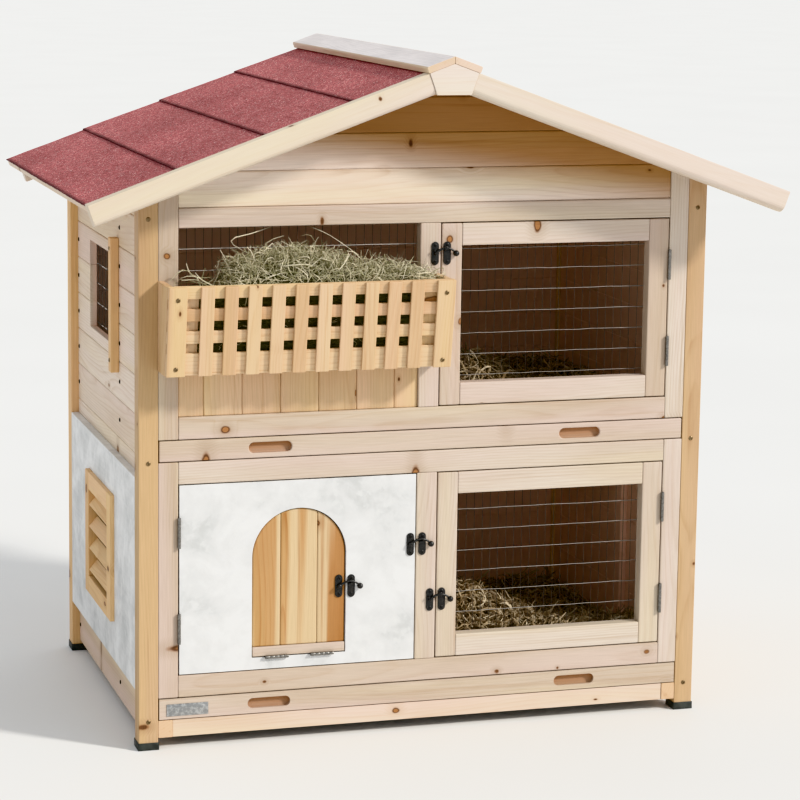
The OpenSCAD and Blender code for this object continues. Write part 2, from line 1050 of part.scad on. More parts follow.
module pop_door_latch_plate() {
    color(black)
        placed() {
            latch_plate(arch_plate_x, arch_latch_z, arch_board_y);
            rivet(arch_plate_x, arch_latch_z, arch_board_y);
        }
}

module pop_latch_lever() {
    placed()
        lever(arch_plate_x, arch_latch_z, 0);
}

// ---- trays ---------------------------------------------------------------------

// Front board of a tray with two routed finger grips.
module tray_front(z) {
    color(pine)
        placed()
            difference() {
                block([-tray_half_w, 0, z + 1.5], [tray_half_w, tray_board_t, z + rail_h - 1.5]);
                for (s = [-1, 1])
                    translate([s * grip_x, 0, z + rail_h / 2])
                        slab_y(-1, grip_depth)
                            rotate(90)
                                stadium(grip_h, grip_w);
            }
}

// Folded sheet pan behind a tray front.
module tray_pan(z) {
    x = tray_half_w - 3;
    low = z + 0.5;
    y0 = tray_board_t + seam;
    color(steel)
        placed()
            difference() {
                block([-x, y0, low], [x, pan_back_y, low + pan_h]);
                block([-x + pan_wall, y0 + pan_wall, low + pan_wall],
                      [x - pan_wall, pan_back_y - pan_wall, low + pan_h + 1]);
            }
}

module upper_tray_front() {
    tray_front(tray2_z);
}

module upper_tray_pan() {
    tray_pan(tray2_z);
}

module lower_tray_front() {
    tray_front(tray1_z);
}

module lower_tray_pan() {
    tray_pan(tray1_z);
}

// Blank plate on the lower tray.
module name_plate() {
    color(steel)
        placed()
            translate([-442, 0, tray1_z + 18])
                slab_y(-1.2, -0.1)
                    square([76, 22], center = true);
}

// ---- one line per node ---------------------------------------------------------

front_posts();
back_posts();
foot_caps();
base_board();
tray_runners();
lower_frame_stiles();
lower_frame_rails();
upper_frame_stiles();
upper_frame_rails();
front_gable_boards();
back_wall_boards();
left_wall_boards();
right_wall_boards();
infill_boards();
partition();
front_mesh();
window_mesh();
window_batten();
inner_batten();
insulation_panel();
vent_frame();
vent_slats();
roof_deck_left();
roof_deck_right();
roof_felt_left();
roof_felt_right();
ridge_cap();
bargeboards();
keystone();
rack_end_panels();
rack_front_slats();
rack_rails();
rack_inner_boards();
frame_hinges();
frame_latch_plates();
timber_screws();
upper_door_frame();
upper_door_mesh();
upper_door_hinges();
upper_door_latch_plate();
upper_latch_lever();
lower_door_frame();
lower_door_mesh();
lower_door_hinges();
lower_door_latch_plate();
lower_latch_lever();
house_door_panel();
house_door_hinges();
house_door_latch_plates();
house_latch_lever();
pop_door_boards();
pop_door_rail();
pop_door_hinges();
pop_door_latch_plate();
pop_latch_lever();
upper_tray_front();
upper_tray_pan();
lower_tray_front();
lower_tray_pan();
name_plate();
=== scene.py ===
"""Finished look of the two-storey rabbit hutch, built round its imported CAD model."""
import json
import math

import bmesh
import bpy
import numpy as np
from mathutils import Matrix, Vector, noise


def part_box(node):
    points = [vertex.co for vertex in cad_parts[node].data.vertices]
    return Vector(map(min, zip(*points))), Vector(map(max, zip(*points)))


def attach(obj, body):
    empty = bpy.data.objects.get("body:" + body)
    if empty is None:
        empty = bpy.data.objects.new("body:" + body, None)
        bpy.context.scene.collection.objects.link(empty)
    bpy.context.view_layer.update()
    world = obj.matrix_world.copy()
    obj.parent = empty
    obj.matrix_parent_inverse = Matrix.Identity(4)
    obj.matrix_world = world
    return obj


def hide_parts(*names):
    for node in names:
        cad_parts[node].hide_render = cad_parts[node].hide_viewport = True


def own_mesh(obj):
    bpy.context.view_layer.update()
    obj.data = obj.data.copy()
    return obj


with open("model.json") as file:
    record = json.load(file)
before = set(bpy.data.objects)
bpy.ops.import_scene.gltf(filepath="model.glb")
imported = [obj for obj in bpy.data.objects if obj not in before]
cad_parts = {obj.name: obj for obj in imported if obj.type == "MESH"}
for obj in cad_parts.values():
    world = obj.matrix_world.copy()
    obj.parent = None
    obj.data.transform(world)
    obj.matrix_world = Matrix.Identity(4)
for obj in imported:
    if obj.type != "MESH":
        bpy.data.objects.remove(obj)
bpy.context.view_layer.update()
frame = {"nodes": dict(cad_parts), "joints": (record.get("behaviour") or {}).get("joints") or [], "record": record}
RECORD = frame["record"]
BODY_OF = {n: body for body, names in RECORD["behaviour"]["bodies"].items() for n in names}
SLOT_OF = {row["node"]: row["material_slot"] for row in RECORD["subparts"]}
JOINTS = {joint["name"]: joint for joint in frame["joints"]}

WELD = 1e-5          # corners of a CAD mesh closer than this are one corner
FLAT = math.radians(0.4)
CREASE = math.radians(25)


def add_object(name, data):
    """A new object in the scene."""
    made = bpy.data.objects.new(name, data)
    bpy.context.scene.collection.objects.link(made)
    return made


# ---- camera ----

CAMERA_PLACE = (-1.4273, -4.7217, 1.4653)
CAMERA_TURN = (16.01, 8.73, 0.60)     # yaw, pitch and roll in degrees
CAMERA_SHIFT = (0.075, -0.10)
SENSOR, LENS = 36, 117.56             # mm


def make_camera():
    """Camera at the height and angle the hutch is seen from, a little from the left."""
    yaw, pitch, roll = (math.radians(angle) for angle in CAMERA_TURN)
    ahead = Vector((math.sin(yaw) * math.cos(pitch), math.cos(yaw) * math.cos(pitch),
                    -math.sin(pitch)))
    level = Vector((math.cos(yaw), -math.sin(yaw), 0))
    upright = level.cross(ahead)
    right = math.cos(roll) * level + math.sin(roll) * upright
    above = math.cos(roll) * upright - math.sin(roll) * level
    data = bpy.data.cameras.new("camera")
    data.sensor_width = SENSOR
    data.lens = LENS
    data.shift_x, data.shift_y = CAMERA_SHIFT
    data.clip_end = 1000
    camera = add_object("camera", data)
    turn = Matrix((right, above, -ahead)).transposed().to_4x4()
    camera.matrix_world = Matrix.Translation(CAMERA_PLACE) @ turn
    bpy.context.scene.camera = camera


# ---- materials ----

MATERIALS = {}        # finished materials by name


class Graph:
    """A Principled material, with short calls that add nodes to it."""

    def __init__(self, name):
        self.name = name
        self.material = bpy.data.materials.new(name)
        self.material.use_nodes = True
        self.nodes = self.material.node_tree.nodes
        self.links = self.material.node_tree.links
        self.shader = self.nodes["Principled BSDF"]

    def put(self, socket, value):
        """Links a socket to value, or sets it where value is a constant."""
        if isinstance(value, bpy.types.NodeSocket):
            self.links.new(value, socket)
        elif value is not None:
            socket.default_value = value

    def add(self, kind, **inputs):
        """A new node. An underscore in the name of an input stands for a space."""
        node = self.nodes.new("ShaderNode" + kind)
        for name, value in inputs.items():
            self.put(node.inputs[name.replace("_", " ")], value)
        return node

    def attribute(self, name, output="Fac"):
        """A value stored on the mesh."""
        node = self.add("Attribute")
        node.attribute_name = name
        return node.outputs[output]

    def place(self):
        """Where a point is on its object, in metres."""
        return self.add("TexCoord").outputs["Object"]

    def vector(self, operation, *vectors):
        node = self.add("VectorMath")
        node.operation = operation
        for socket, vector in zip(node.inputs, vectors):
            self.put(socket, vector)
        return node.outputs["Value" if operation == "LENGTH" else "Vector"]

    def stretch(self, vector, factors):
        return self.vector("MULTIPLY", vector, factors)

    def math(self, operation, *values):
        node = self.add("Math")
        node.operation = operation
        for socket, value in zip(node.inputs, values):
            self.put(socket, value)
        return node.outputs["Value"]

    def times(self, a, b):
        return self.math("MULTIPLY", a, b)

    def split(self, vector):
        return self.add("SeparateXYZ", Vector=vector).outputs

    def join(self, x, y):
        return self.add("CombineXYZ", X=x, Y=y).outputs["Vector"]

    def warp(self, vector, scale):
        """Random offsets of about half a unit either way."""
        node = self.add("TexNoise", Vector=vector, Scale=scale)
        return self.vector("SUBTRACT", node.outputs["Color"], (0.5, 0.5, 0.5))

    def noise(self, vector, scale=1.0, detail=2.0, roughness=0.5, distortion=0.0):
        return self.add("TexNoise", Vector=vector, Scale=scale, Detail=detail,
                        Roughness=roughness, Distortion=distortion).outputs["Fac"]

    def cells(self, vector, scale=1.0, dimensions="3D"):
        """Distance to the nearest random point, and that point's random value."""
        node = self.add("TexVoronoi", Vector=vector, Scale=scale)
        node.voronoi_dimensions = dimensions
        split = self.add("SeparateColor", Color=node.outputs["Color"])
        return node.outputs["Distance"], split.outputs["Red"]

    def band(self, value, low, high, start=0.0, end=1.0):
        """start where value is low, end where it is high, smooth between."""
        node = self.add("MapRange", Value=value, From_Min=low, From_Max=high, To_Min=start,
                        To_Max=end)
        node.interpolation_type = "SMOOTHSTEP"
        return node.outputs["Result"]

    def ramp(self, value, *stops):
        """Colour read off a scale of (position, colour) stops. A lone number is a grey."""
        node = self.add("ValToRGB", Fac=value)
        marks = node.color_ramp.elements
        while len(marks) < len(stops):
            marks.new(0.5)
        for mark, (position, colour) in zip(marks, stops):
            mark.position = position
            mark.color = (*np.broadcast_to(colour, 3), 1)
        return node.outputs["Color"]

    def mix(self, factor, a, b, mode="MIX"):
        node = self.add("Mix")
        node.data_type = "RGBA"
        node.blend_type = mode
        self.put(node.inputs["Factor"], factor)
        self.put(node.inputs["A"], (*a, 1) if isinstance(a, tuple) else a)
        self.put(node.inputs["B"], (*b, 1) if isinstance(b, tuple) else b)
        return node.outputs["Result"]

    def shade(self, colour, value, *stops):
        """colour multiplied by what value reads off a ramp."""
        return self.mix(1.0, colour, self.ramp(value, *stops), "MULTIPLY")

    def bump(self, height, distance, strength=1.0):
        node = self.add("Bump", Distance=distance, Strength=strength, Height=height)
        return node.outputs["Normal"]

    def finish(self, colour, roughness, normal=None, **constants):
        """Joins up the shader and lists the material. constants are the same all over."""
        self.put(self.shader.inputs["Base Color"], colour)
        self.put(self.shader.inputs["Roughness"], roughness)
        self.put(self.shader.inputs["Normal"], normal)
        for name, number in constants.items():
            self.shader.inputs[name.replace("_", " ")].default_value = number
        MATERIALS[self.name] = self.material


def tinted(colour, *factors):
    """A colour times one factor, or times one factor for each channel."""
    return tuple(np.multiply(colour, factors))


def find_knots(g, grain, share):
    """Masks of the knots: swollen grain round them, knot, rim, dark ring and live knots.

    share is the part of all branches that show. About half of these are live, and ringed.
    """
    x, y, z = g.split(grain)
    round_pith = g.math("ARCTAN2", z, y)
    branch = g.join(g.times(x, 7.0), g.times(round_pith, 0.42))
    branch = g.vector("ADD", branch, g.stretch(g.warp(grain, 60), (0.022, 0.022, 0)))
    spot, pick = g.cells(branch, dimensions="2D")
    chosen = g.math("LESS_THAN", pick, share)
    spot = g.math("DIVIDE", spot, g.math("MULTIPLY_ADD", pick, 1.0 / share, 0.40))
    live = g.band(pick, 0.45 * share, 0.55 * share)
    swell = g.times(g.band(spot, 0.03, 0.16, 1, 0), chosen)
    knot = g.times(g.band(spot, 0.026, 0.038, 1, 0), chosen)
    rim = g.times(g.band(spot, 0.036, 0.056, 1, 0), chosen)
    ring = g.times(g.band(spot, 0.024, 0.032), g.band(spot, 0.034, 0.044, 1, 0))
    return swell, knot, rim, g.times(ring, g.times(chosen, live)), live


def late_wood(g, grain, width, bends):
    """Dark outer part of each year ring. bends lists (field, how far it moves the rings)."""
    radius = g.vector("LENGTH", g.stretch(grain, (0, 1, 1)))
    for field, reach in bends:
        radius = g.math("MULTIPLY_ADD", field, reach, radius)
    year = g.math("FRACT", g.math("DIVIDE", radius, width))
    return g.ramp(year, (0.0, 0.10), (0.25, 0.0), (0.60, 0.22), (0.90, 1.0), (1.0, 0.10))


KNOT_RIM = (0.26, 0.115, 0.045)
BARK = (0.085, 0.033, 0.013)


def draw_knots(g, colour, dark, fibre, swell, knot, rim, bark, live):
    """The colour of the wood with its knots, and the darker grain that swells round them."""
    colour = g.mix(g.times(swell, 0.38), colour, tinted(dark, 0.8))
    colour = g.mix(g.times(rim, 0.65), colour, KNOT_RIM)
    dead_knot = g.ramp(fibre, (0.3, (0.075, 0.032, 0.015)), (0.7, (0.19, 0.085, 0.036)))
    live_knot = g.ramp(fibre, (0.3, (0.27, 0.115, 0.042)), (0.7, (0.45, 0.225, 0.095)))
    colour = g.mix(knot, colour, g.mix(live, dead_knot, live_knot))
    return g.mix(g.times(bark, 0.85), colour, BARK)


INNER_LIGHT_TINT = (0.94, 0.645, 0.50)        # painted light: paler, redder faces that look into the hutch, for the light that bounces inside


def wood(name, pale, dark, ring=0.0055, contrast=0.50, knots=0.5, sapwood=None, weathered=None,
         roof_shadow_tint=None):
    """Planed softwood. The grain field runs along x, round a pith at y = z = 0.

    sapwood is the colour of broad pale stripes along the grain, weathered that of the faces that
    lie open to the sky, and roof_shadow_tint that of a painted roof shadow toward the gable top.
    """
    g = Graph(name)
    grain = g.attribute("grain", "Vector")
    tone = g.attribute("tone")

    def streaks(along, across, **noise):
        """Noise drawn out along the grain."""
        return g.noise(g.stretch(grain, (along, across, across)), **noise)

    drift, ripple = streaks(1.3, 5), streaks(7, 45)
    fibre = streaks(16, 900, detail=3, roughness=0.6)
    streak = streaks(1.6, 85, detail=4, roughness=0.6)
    patch, hue = streaks(2.5, 8, detail=3), streaks(1.1, 17, detail=1)
    swell, knot, *other_masks = find_knots(g, grain, knots)
    late = late_wood(g, grain, ring, ((drift, 0.075), (ripple, 0.0035), (swell, 0.010)))
    late = g.times(late, g.band(streak, 0.30, 0.70, 0.25, 1.0))

    colour = g.mix(g.times(late, contrast), pale, dark)
    colour = g.mix(g.band(patch, 0.40, 0.75, 0.0, 0.38), colour, dark)
    colour = g.mix(g.times(tone, 0.60), colour, dark)
    colour = g.mix(g.band(hue, 0.46, 0.68, 0.0, 0.40), colour, tinted(pale, 1.0, 0.91, 0.99))
    colour = g.mix(g.band(hue, 0.47, 0.30, 0.0, 0.45), colour, tinted(pale, 0.99, 0.97, 0.80))
    if sapwood:
        stripe = streaks(0.7, 24, detail=1)
        colour = g.mix(g.band(stripe, 0.50, 0.60, 0.0, 0.75), colour, sapwood)
    colour = g.mix(g.band(streak, 0.60, 0.72, 0.0, 0.42), colour, dark)
    colour = g.shade(colour, fibre, (0.25, (0.88, 0.86, 0.83)), (0.7, 1.04))
    colour = draw_knots(g, colour, dark, fibre, swell, knot, *other_masks)
    # Painted light: the faces inside the hutch turn paler and redder, standing in for the light that bounces round
    # inside.
    colour = g.mix(g.times(g.attribute("lining"), 0.80), colour, INNER_LIGHT_TINT)
    # Painted shade in the finger grips: darker and more orange toward the top, under the overhang.
    colour = g.mix(g.times(g.attribute("routed"), 0.92), colour, tinted(dark, 0.80, 0.47, 0.24))
    if weathered:
        _, _, facing_up = g.split(g.add("TexCoord").outputs["Normal"])
        blotch = streaks(7, 26, detail=4, roughness=0.6)
        grey = g.ramp(blotch, (0.30, tinted(weathered, 0.86)), (0.60, weathered))
        grey = g.mix(g.times(late, 0.35), grey, tinted(weathered, 0.6))
        grey = g.shade(grey, fibre, (0.25, 0.80), (0.7, 1.03))
        colour = g.mix(g.band(facing_up, 0.55, 0.80, 0.0, 0.92), colour, grey)
    # Painted shadow of the roof: toward the top of the gable, and a little more to the right, the wood is
    # multiplied by the tint.
    if roof_shadow_tint:
        across, _, level = g.split(g.place())
        roof_shadow_mask = g.band(g.math("MULTIPLY_ADD", across, 0.15, level), 0.985, 1.085)
        colour = g.mix(roof_shadow_mask, colour, roof_shadow_tint, "MULTIPLY")
    height = g.math("ADD", g.times(late, 0.3), g.times(fibre, 0.6))
    height = g.math("SUBTRACT", height, g.times(knot, 0.5))
    g.finish(colour, g.band(fibre, 0.3, 0.7, 0.52, 0.68), g.bump(height, 0.00035, 0.5),
             Specular_IOR_Level=0.3)


def laminate(name):
    """White sheet with a cloudy grey print and light rub marks."""
    g = Graph(name)
    place = g.place()
    cloud = g.noise(place, 13, detail=5, roughness=0.60, distortion=0.3)
    fine = g.noise(place, 55, detail=3)
    rub = g.noise(g.stretch(place, (6, 6, 160)), detail=2)
    colour = g.ramp(cloud, (0.34, (0.53, 0.535, 0.53)), (0.50, (0.665, 0.665, 0.66)),
                    (0.62, (0.77, 0.77, 0.765)))
    colour = g.mix(g.band(fine, 0.50, 0.72, 0.0, 0.35), colour, (0.84, 0.84, 0.83))
    colour = g.mix(g.band(fine, 0.42, 0.28, 0.0, 0.25), colour, (0.55, 0.55, 0.54))
    rough = g.math("ADD", g.band(rub, 0.35, 0.7, 0.36, 0.50), g.times(fine, 0.08))
    g.finish(colour, rough, g.bump(fine, 0.0003, 0.35), Specular_IOR_Level=0.4)


def felt(name):
    """Bitumen felt faced with red mineral grit; dirt gathers by the laps."""
    g = Graph(name)
    place = g.place()
    edge = g.attribute("edge")
    grit, shade = g.cells(place, 620)
    clump = g.noise(place, 95, detail=4, roughness=0.7)
    blotch = g.noise(place, 4.5, detail=4)
    scuff = g.noise(place, 24, detail=4, roughness=0.65)
    colour = g.ramp(shade, (0.0, (0.20, 0.050, 0.055)), (0.3, (0.43, 0.122, 0.128)),
                    (0.7, (0.57, 0.185, 0.185)), (0.93, (0.67, 0.28, 0.27)),
                    (1.0, (0.90, 0.72, 0.69)))
    colour = g.shade(colour, clump, (0.3, (0.70, 0.66, 0.66)), (0.7, 1.12))
    colour = g.shade(colour, blotch, (0.3, 0.84), (0.7, 1.10))
    colour = g.mix(g.band(scuff, 0.60, 0.78, 0.0, 0.28), colour, (0.10, 0.035, 0.038))
    lap = g.times(g.band(edge, 0.0, 0.010, 0.85, 0.0), g.band(scuff, 0.2, 0.6, 0.7, 1))
    colour = g.mix(lap, colour, (0.055, 0.018, 0.02))
    height = g.math("ADD", g.times(grit, -1.0), g.times(clump, 1.6))
    g.finish(colour, g.band(shade, 0.0, 1.0, 0.82, 0.96), g.bump(height, 0.0010, 0.8),
             Specular_IOR_Level=0.15)


def zinc(name, tint=(0.60, 0.61, 0.60), spangle=90):
    """Galvanised metal with faint crystals and dull patches."""
    g = Graph(name)
    place = g.place()
    _, crystal = g.cells(place, spangle)
    dull = g.noise(place, 35, detail=4)
    colour = g.ramp(crystal, (0.0, tinted(tint, 0.74)), (1.0, tinted(tint, 1.12)))
    colour = g.mix(g.band(dull, 0.45, 0.75, 0.0, 0.5), colour, tinted(tint, 0.62))
    rough = g.math("ADD", g.band(dull, 0.3, 0.75, 0.26, 0.46), g.times(crystal, 0.08))
    g.finish(colour, rough, g.bump(dull, 0.0002, 0.3), Metallic=0.9)


def wire_finish(name):
    """Dull galvanised wire; the tone field paints shade into it, from bright zinc to near black."""
    g = Graph(name)
    tone = g.attribute("tone")
    stain = g.noise(g.place(), 130, detail=4, roughness=0.65)
    # Painted shade: tone takes the wire from bright zinc to near black.
    colour = g.mix(tone, (0.66, 0.62, 0.57), (0.038, 0.029, 0.023))
    colour = g.mix(g.band(stain, 0.5, 0.75, 0.0, 0.5), colour, (0.11, 0.085, 0.065))
    g.finish(colour, g.band(stain, 0.3, 0.7, 0.45, 0.65), g.bump(stain, 0.0001, 0.4),
             Metallic=0.45)


def enamel(name):
    """Thick black paint on a casting."""
    g = Graph(name)
    place = g.place()
    orange_peel = g.noise(place, 700, detail=2)
    wear = g.noise(place, 260, detail=4, roughness=0.7)
    colour = g.ramp(wear, (0.45, 0.012), (0.66, (0.03, 0.029, 0.027)),
                    (0.80, (0.10, 0.095, 0.09)))
    g.finish(colour, g.band(wear, 0.4, 0.8, 0.28, 0.5), g.bump(orange_peel, 0.0003, 0.5),
             Specular_IOR_Level=0.55)


def moulded(name):
    """Dark moulded plastic of the foot caps, dusty near the ground."""
    g = Graph(name)
    place = g.place()
    grain = g.noise(place, 900, detail=2)
    dust = g.noise(place, 70, detail=4)
    colour = g.ramp(dust, (0.35, (0.016, 0.020, 0.018)), (0.75, (0.060, 0.066, 0.058)))
    g.finish(colour, g.band(dust, 0.35, 0.75, 0.42, 0.7), g.bump(grain, 0.0002, 0.5))


def blackened(name):
    """Matt black finish of cheap wood screws."""
    g = Graph(name)
    wear = g.noise(g.place(), 900, detail=3)
    colour = g.ramp(wear, (0.35, (0.006, 0.0055, 0.005)), (0.75, (0.028, 0.024, 0.02)))
    g.finish(colour, g.band(wear, 0.3, 0.7, 0.6, 0.8), g.bump(wear, 0.0002, 0.4),
             Specular_IOR_Level=0.2)


def dried_grass(name, *shades):
    """Stalks, each with its own shade from the tone field, paler toward one end."""
    g = Graph(name)
    tone = g.attribute("tone")
    along = g.attribute("along")
    fleck = g.noise(g.place(), 420, detail=3)
    colour = g.ramp(tone, *zip(np.linspace(0, 1, len(shades)), shades))
    colour = g.shade(colour, fleck, (0.3, 0.72), (0.7, 1.15))
    colour = g.mix(g.band(along, 0.55, 1.0, 0.0, 0.35), colour, shades[-1])
    g.finish(colour, g.band(fleck, 0.3, 0.7, 0.55, 0.8), g.bump(fleck, 0.0003, 0.4),
             Specular_IOR_Level=0.3)


def shade_tangle(name, hollow, stem):
    """Painted shade of a heap: the dark tangle in shadow between its stalks, laid on a core."""
    g = Graph(name)
    place = g.place()
    swirl = g.vector("ADD", g.stretch(place, (60, 60, 60)), g.warp(place, 35))
    strands = g.noise(g.stretch(swirl, (1.0, 4.5, 6.0)), detail=5, roughness=0.7)
    colour = g.ramp(strands, (0.38, hollow), (0.62, stem))
    g.finish(colour, 0.9, g.bump(strands, 0.004, 0.9), Specular_IOR_Level=0.1)


def brushed(name):
    """Satin aluminium plate with level brush lines and dull smudges."""
    g = Graph(name)
    lines = g.noise(g.stretch(g.place(), (30, 900, 2600)), detail=2)
    smudge = g.noise(g.place(), 160, detail=4, roughness=0.65)
    colour = g.ramp(lines, (0.3, (0.25, 0.26, 0.265)), (0.7, (0.38, 0.385, 0.385)))
    colour = g.mix(g.band(smudge, 0.46, 0.62, 0.0, 0.6), colour, (0.60, 0.61, 0.61))
    g.finish(colour, g.band(smudge, 0.3, 0.7, 0.30, 0.45), g.bump(lines, 0.0001, 0.5),
             Metallic=0.9)


def backdrop(name):
    """Pale paper with a faint drift in its brightness."""
    g = Graph(name)
    drift = g.noise(g.place(), 1.2, detail=2)
    g.finish(g.ramp(drift, (0.3, (0.80, 0.80, 0.79)), (0.7, (0.84, 0.84, 0.83))), 0.8)


def make_materials():
    wood("pine", (0.635, 0.56, 0.485), (0.43, 0.305, 0.2))
    wood("wall_pine", (0.79, 0.68, 0.58), (0.53, 0.355, 0.215))
    # The gable boards carry a painted shadow of the roof.
    wood("gable_pine", (0.89, 0.815, 0.715), (0.53, 0.355, 0.215), contrast=0.4,
         roof_shadow_tint=(0.46, 0.29, 0.14))
    wood("pale_pine", (0.77, 0.705, 0.62), (0.61, 0.485, 0.355), contrast=0.42, knots=0.4)
    wood("post_pine", (0.57, 0.405, 0.25), (0.38, 0.215, 0.1), knots=0.45)
    wood("warm_pine", (0.745, 0.575, 0.375), (0.49, 0.285, 0.14), knots=0.45)
    wood("golden_pine", (0.84, 0.6, 0.335), (0.61, 0.345, 0.15), knots=0.45)
    wood("pop_pine", (0.53, 0.34, 0.155), (0.33, 0.125, 0.025), ring=0.007, contrast=0.7,
         sapwood=(0.66, 0.53, 0.34))
    wood("ridge_pine", (0.78, 0.67, 0.54), (0.55, 0.37, 0.23), contrast=0.45, knots=0.2,
         weathered=(0.84, 0.795, 0.795))
    laminate("insulated_panel")
    felt("roof_felt")
    wire_finish("wire")
    zinc("zinc_hinge", (0.25, 0.24, 0.225), spangle=300)
    zinc("yellow_zinc", (0.3, 0.22, 0.13), spangle=400)
    zinc("tray_sheet")
    enamel("black_metal")
    blackened("black_screw")
    moulded("foot_cap")
    brushed("name_plate")
    dried_grass("hay", (0.17, 0.165, 0.085), (0.36, 0.34, 0.2), (0.56, 0.51, 0.35),
                (0.82, 0.75, 0.58))
    dried_grass("straw", (0.12, 0.083, 0.055), (0.29, 0.21, 0.125), (0.48, 0.37, 0.23),
                (0.78, 0.67, 0.49))
    # Painted shade for the dark cores inside the hay and the litter.
    shade_tangle("hay_core_shade", (0.022, 0.021, 0.012), (0.105, 0.1, 0.055))
    shade_tangle("straw_core_shade", (0.04, 0.028, 0.02), (0.16, 0.112, 0.07))
    backdrop("floor")


# ---- meshes ----


def piece(name, verts, faces, material, body, slot, stands_for=(), fields=None, smooth=None):
    """A mesh that rides on a CAD body. smooth is the angle up to which edges shade smooth."""
    mesh = bpy.data.meshes.new(name)
    mesh.from_pydata([tuple(v) for v in verts], [], [tuple(f) for f in faces])
    mesh.materials.append(MATERIALS[material])
    for field, values in (fields or {}).items():
        values = np.asarray(values, np.float32)
        kind, key = ("FLOAT_VECTOR", "vector") if values.ndim == 2 else ("FLOAT", "value")
        mesh.attributes.new(field, kind, "POINT").data.foreach_set(key, values.ravel())
    if smooth is not None:
        mesh.shade_smooth()
        mesh.set_sharp_from_angle(angle=math.radians(smooth))
    made = add_object(name, mesh)
    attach(made, body)
    if stands_for:
        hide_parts(*stands_for)
    return made


class Heap:
    """Collects the vertices, faces and fields of many small shapes for one piece."""

    def __init__(self):
        self.verts, self.faces, self.fields = [], [], {}

    def add(self, verts, faces, **fields):
        start = len(self.verts)
        self.verts.extend(verts)
        self.faces.extend([i + start for i in face] for face in faces)
        for name, values in fields.items():
            self.fields.setdefault(name, []).extend(values)

    def piece(self, name, material, body, slot, stands_for=(), smooth=None):
        return piece(name, self.verts, self.faces, material, body, slot, stands_for, self.fields,
                     smooth)

    def stand_in(self, node, ending, material, smooth=None):
        """The piece that takes the place of a CAD node."""
        return self.piece(node + ending, material, BODY_OF[node], SLOT_OF[node], (node,), smooth)


def solids(node):
    """The separate solids of a CAD node, each as a bmesh with its flat faces joined up."""
    whole = bmesh.new()
    whole.from_mesh(frame["nodes"][node].data)
    bmesh.ops.remove_doubles(whole, verts=whole.verts, dist=WELD)
    whole.verts.index_update()
    seen = set()
    for first in whole.verts:
        if first.index in seen:
            continue
        seen.add(first.index)
        group = [first]
        for vert in group:
            for edge in vert.link_edges:
                other = edge.other_vert(vert)
                if other.index not in seen:
                    seen.add(other.index)
                    group.append(other)
        part = bmesh.new()
        copy = {vert.index: part.verts.new(vert.co) for vert in group}
        for face in whole.faces:
            if face.verts[0].index in copy:
                part.faces.new([copy[vert.index] for vert in face.verts])
        part.normal_update()
        bmesh.ops.dissolve_limit(part, angle_limit=FLAT, verts=part.verts, edges=part.edges)
        part.normal_update()
        yield part
    whole.free()


def soften(part, width):
    """Rounds off the sharp edges of a solid."""
    sharp = [e for e in part.edges if len(e.link_faces) == 2 and e.calc_face_angle(0) > CREASE]
    bmesh.ops.bevel(part, geom=sharp, offset=width, segments=2, profile=0.5, affect="EDGES",
                    clamp_overlap=True)
    part.verts.index_update()


def harvest(part):
    """Vertices and faces of a bmesh, which is then freed."""
    verts = [tuple(v.co) for v in part.verts]
    faces = [[v.index for v in f.verts] for f in part.faces]
    part.free()
    return verts, faces


def corners(part):
    """Corners of a bmesh, which is then freed, and the box round them."""
    points = np.array([v.co for v in part.verts])
    part.free()
    return points, points.min(axis=0), points.max(axis=0)


def square_to(axis, spare=(1, 0, 0)):
    """Two unit vectors square to axis and to each other. spare steers them if axis is upright."""
    a = axis.cross(Vector((0, 0, 1)) if abs(axis.z) < 0.8 else Vector(spare)).normalized()
    return a, axis.cross(a)


def grain_frame(part, rng):
    """Turns points of a board into grain space: x along its longest edge, off the pith."""
    longest = max(part.edges, key=lambda e: e.calc_length())
    along = (longest.verts[1].co - longest.verts[0].co).normalized()
    axes = np.array([along, *square_to(along, spare=(0, 1, 0))])
    centre = np.array(sum((v.co for v in part.verts), Vector()) / len(part.verts))
    angle, distance = rng.uniform(0, 2 * math.pi), rng.uniform(0.025, 0.075)
    shift = np.array([rng.uniform(0, 40), distance * math.cos(angle), distance * math.sin(angle)])
    return lambda verts: (np.asarray(verts) - centre) @ axes.T + shift


def routed_depth(verts):
    """Painted shade in the bottom of a finger grip, darkest at its top, under the overhang.

    Grips are the only hollows in a face, so any point between front and back is in one.
    """
    front, back = verts[:, 1].min(), verts[:, 1].max()
    hollow = (verts[:, 1] > front + 0.004) & (verts[:, 1] < back - 0.003)
    if not hollow.any():
        return np.zeros(len(verts))
    low, high = verts[hollow, 2].min(), verts[hollow, 2].max()
    return np.where(hollow, 0.60 + 0.40 * smooth_step(verts[:, 2], low, high), 0.0)


INWARD = {"back_wall_boards": (1, -1), "left_wall_boards": (0, 1), "right_wall_boards": (0, -1)}


def lining(node, verts):
    """1 on the faces that look into the hutch, which take a paler, redder colour as painted light, and 0
    elsewhere.
    """
    if node in ("partition", "inner_batten"):
        return np.ones(len(verts))
    if node not in INWARD:
        return np.zeros(len(verts))
    axis, sign = INWARD[node]
    middle = (verts[:, axis].min() + verts[:, axis].max()) / 2
    return np.where(sign * (verts[:, axis] - middle) > 0, 1.0, 0.0)


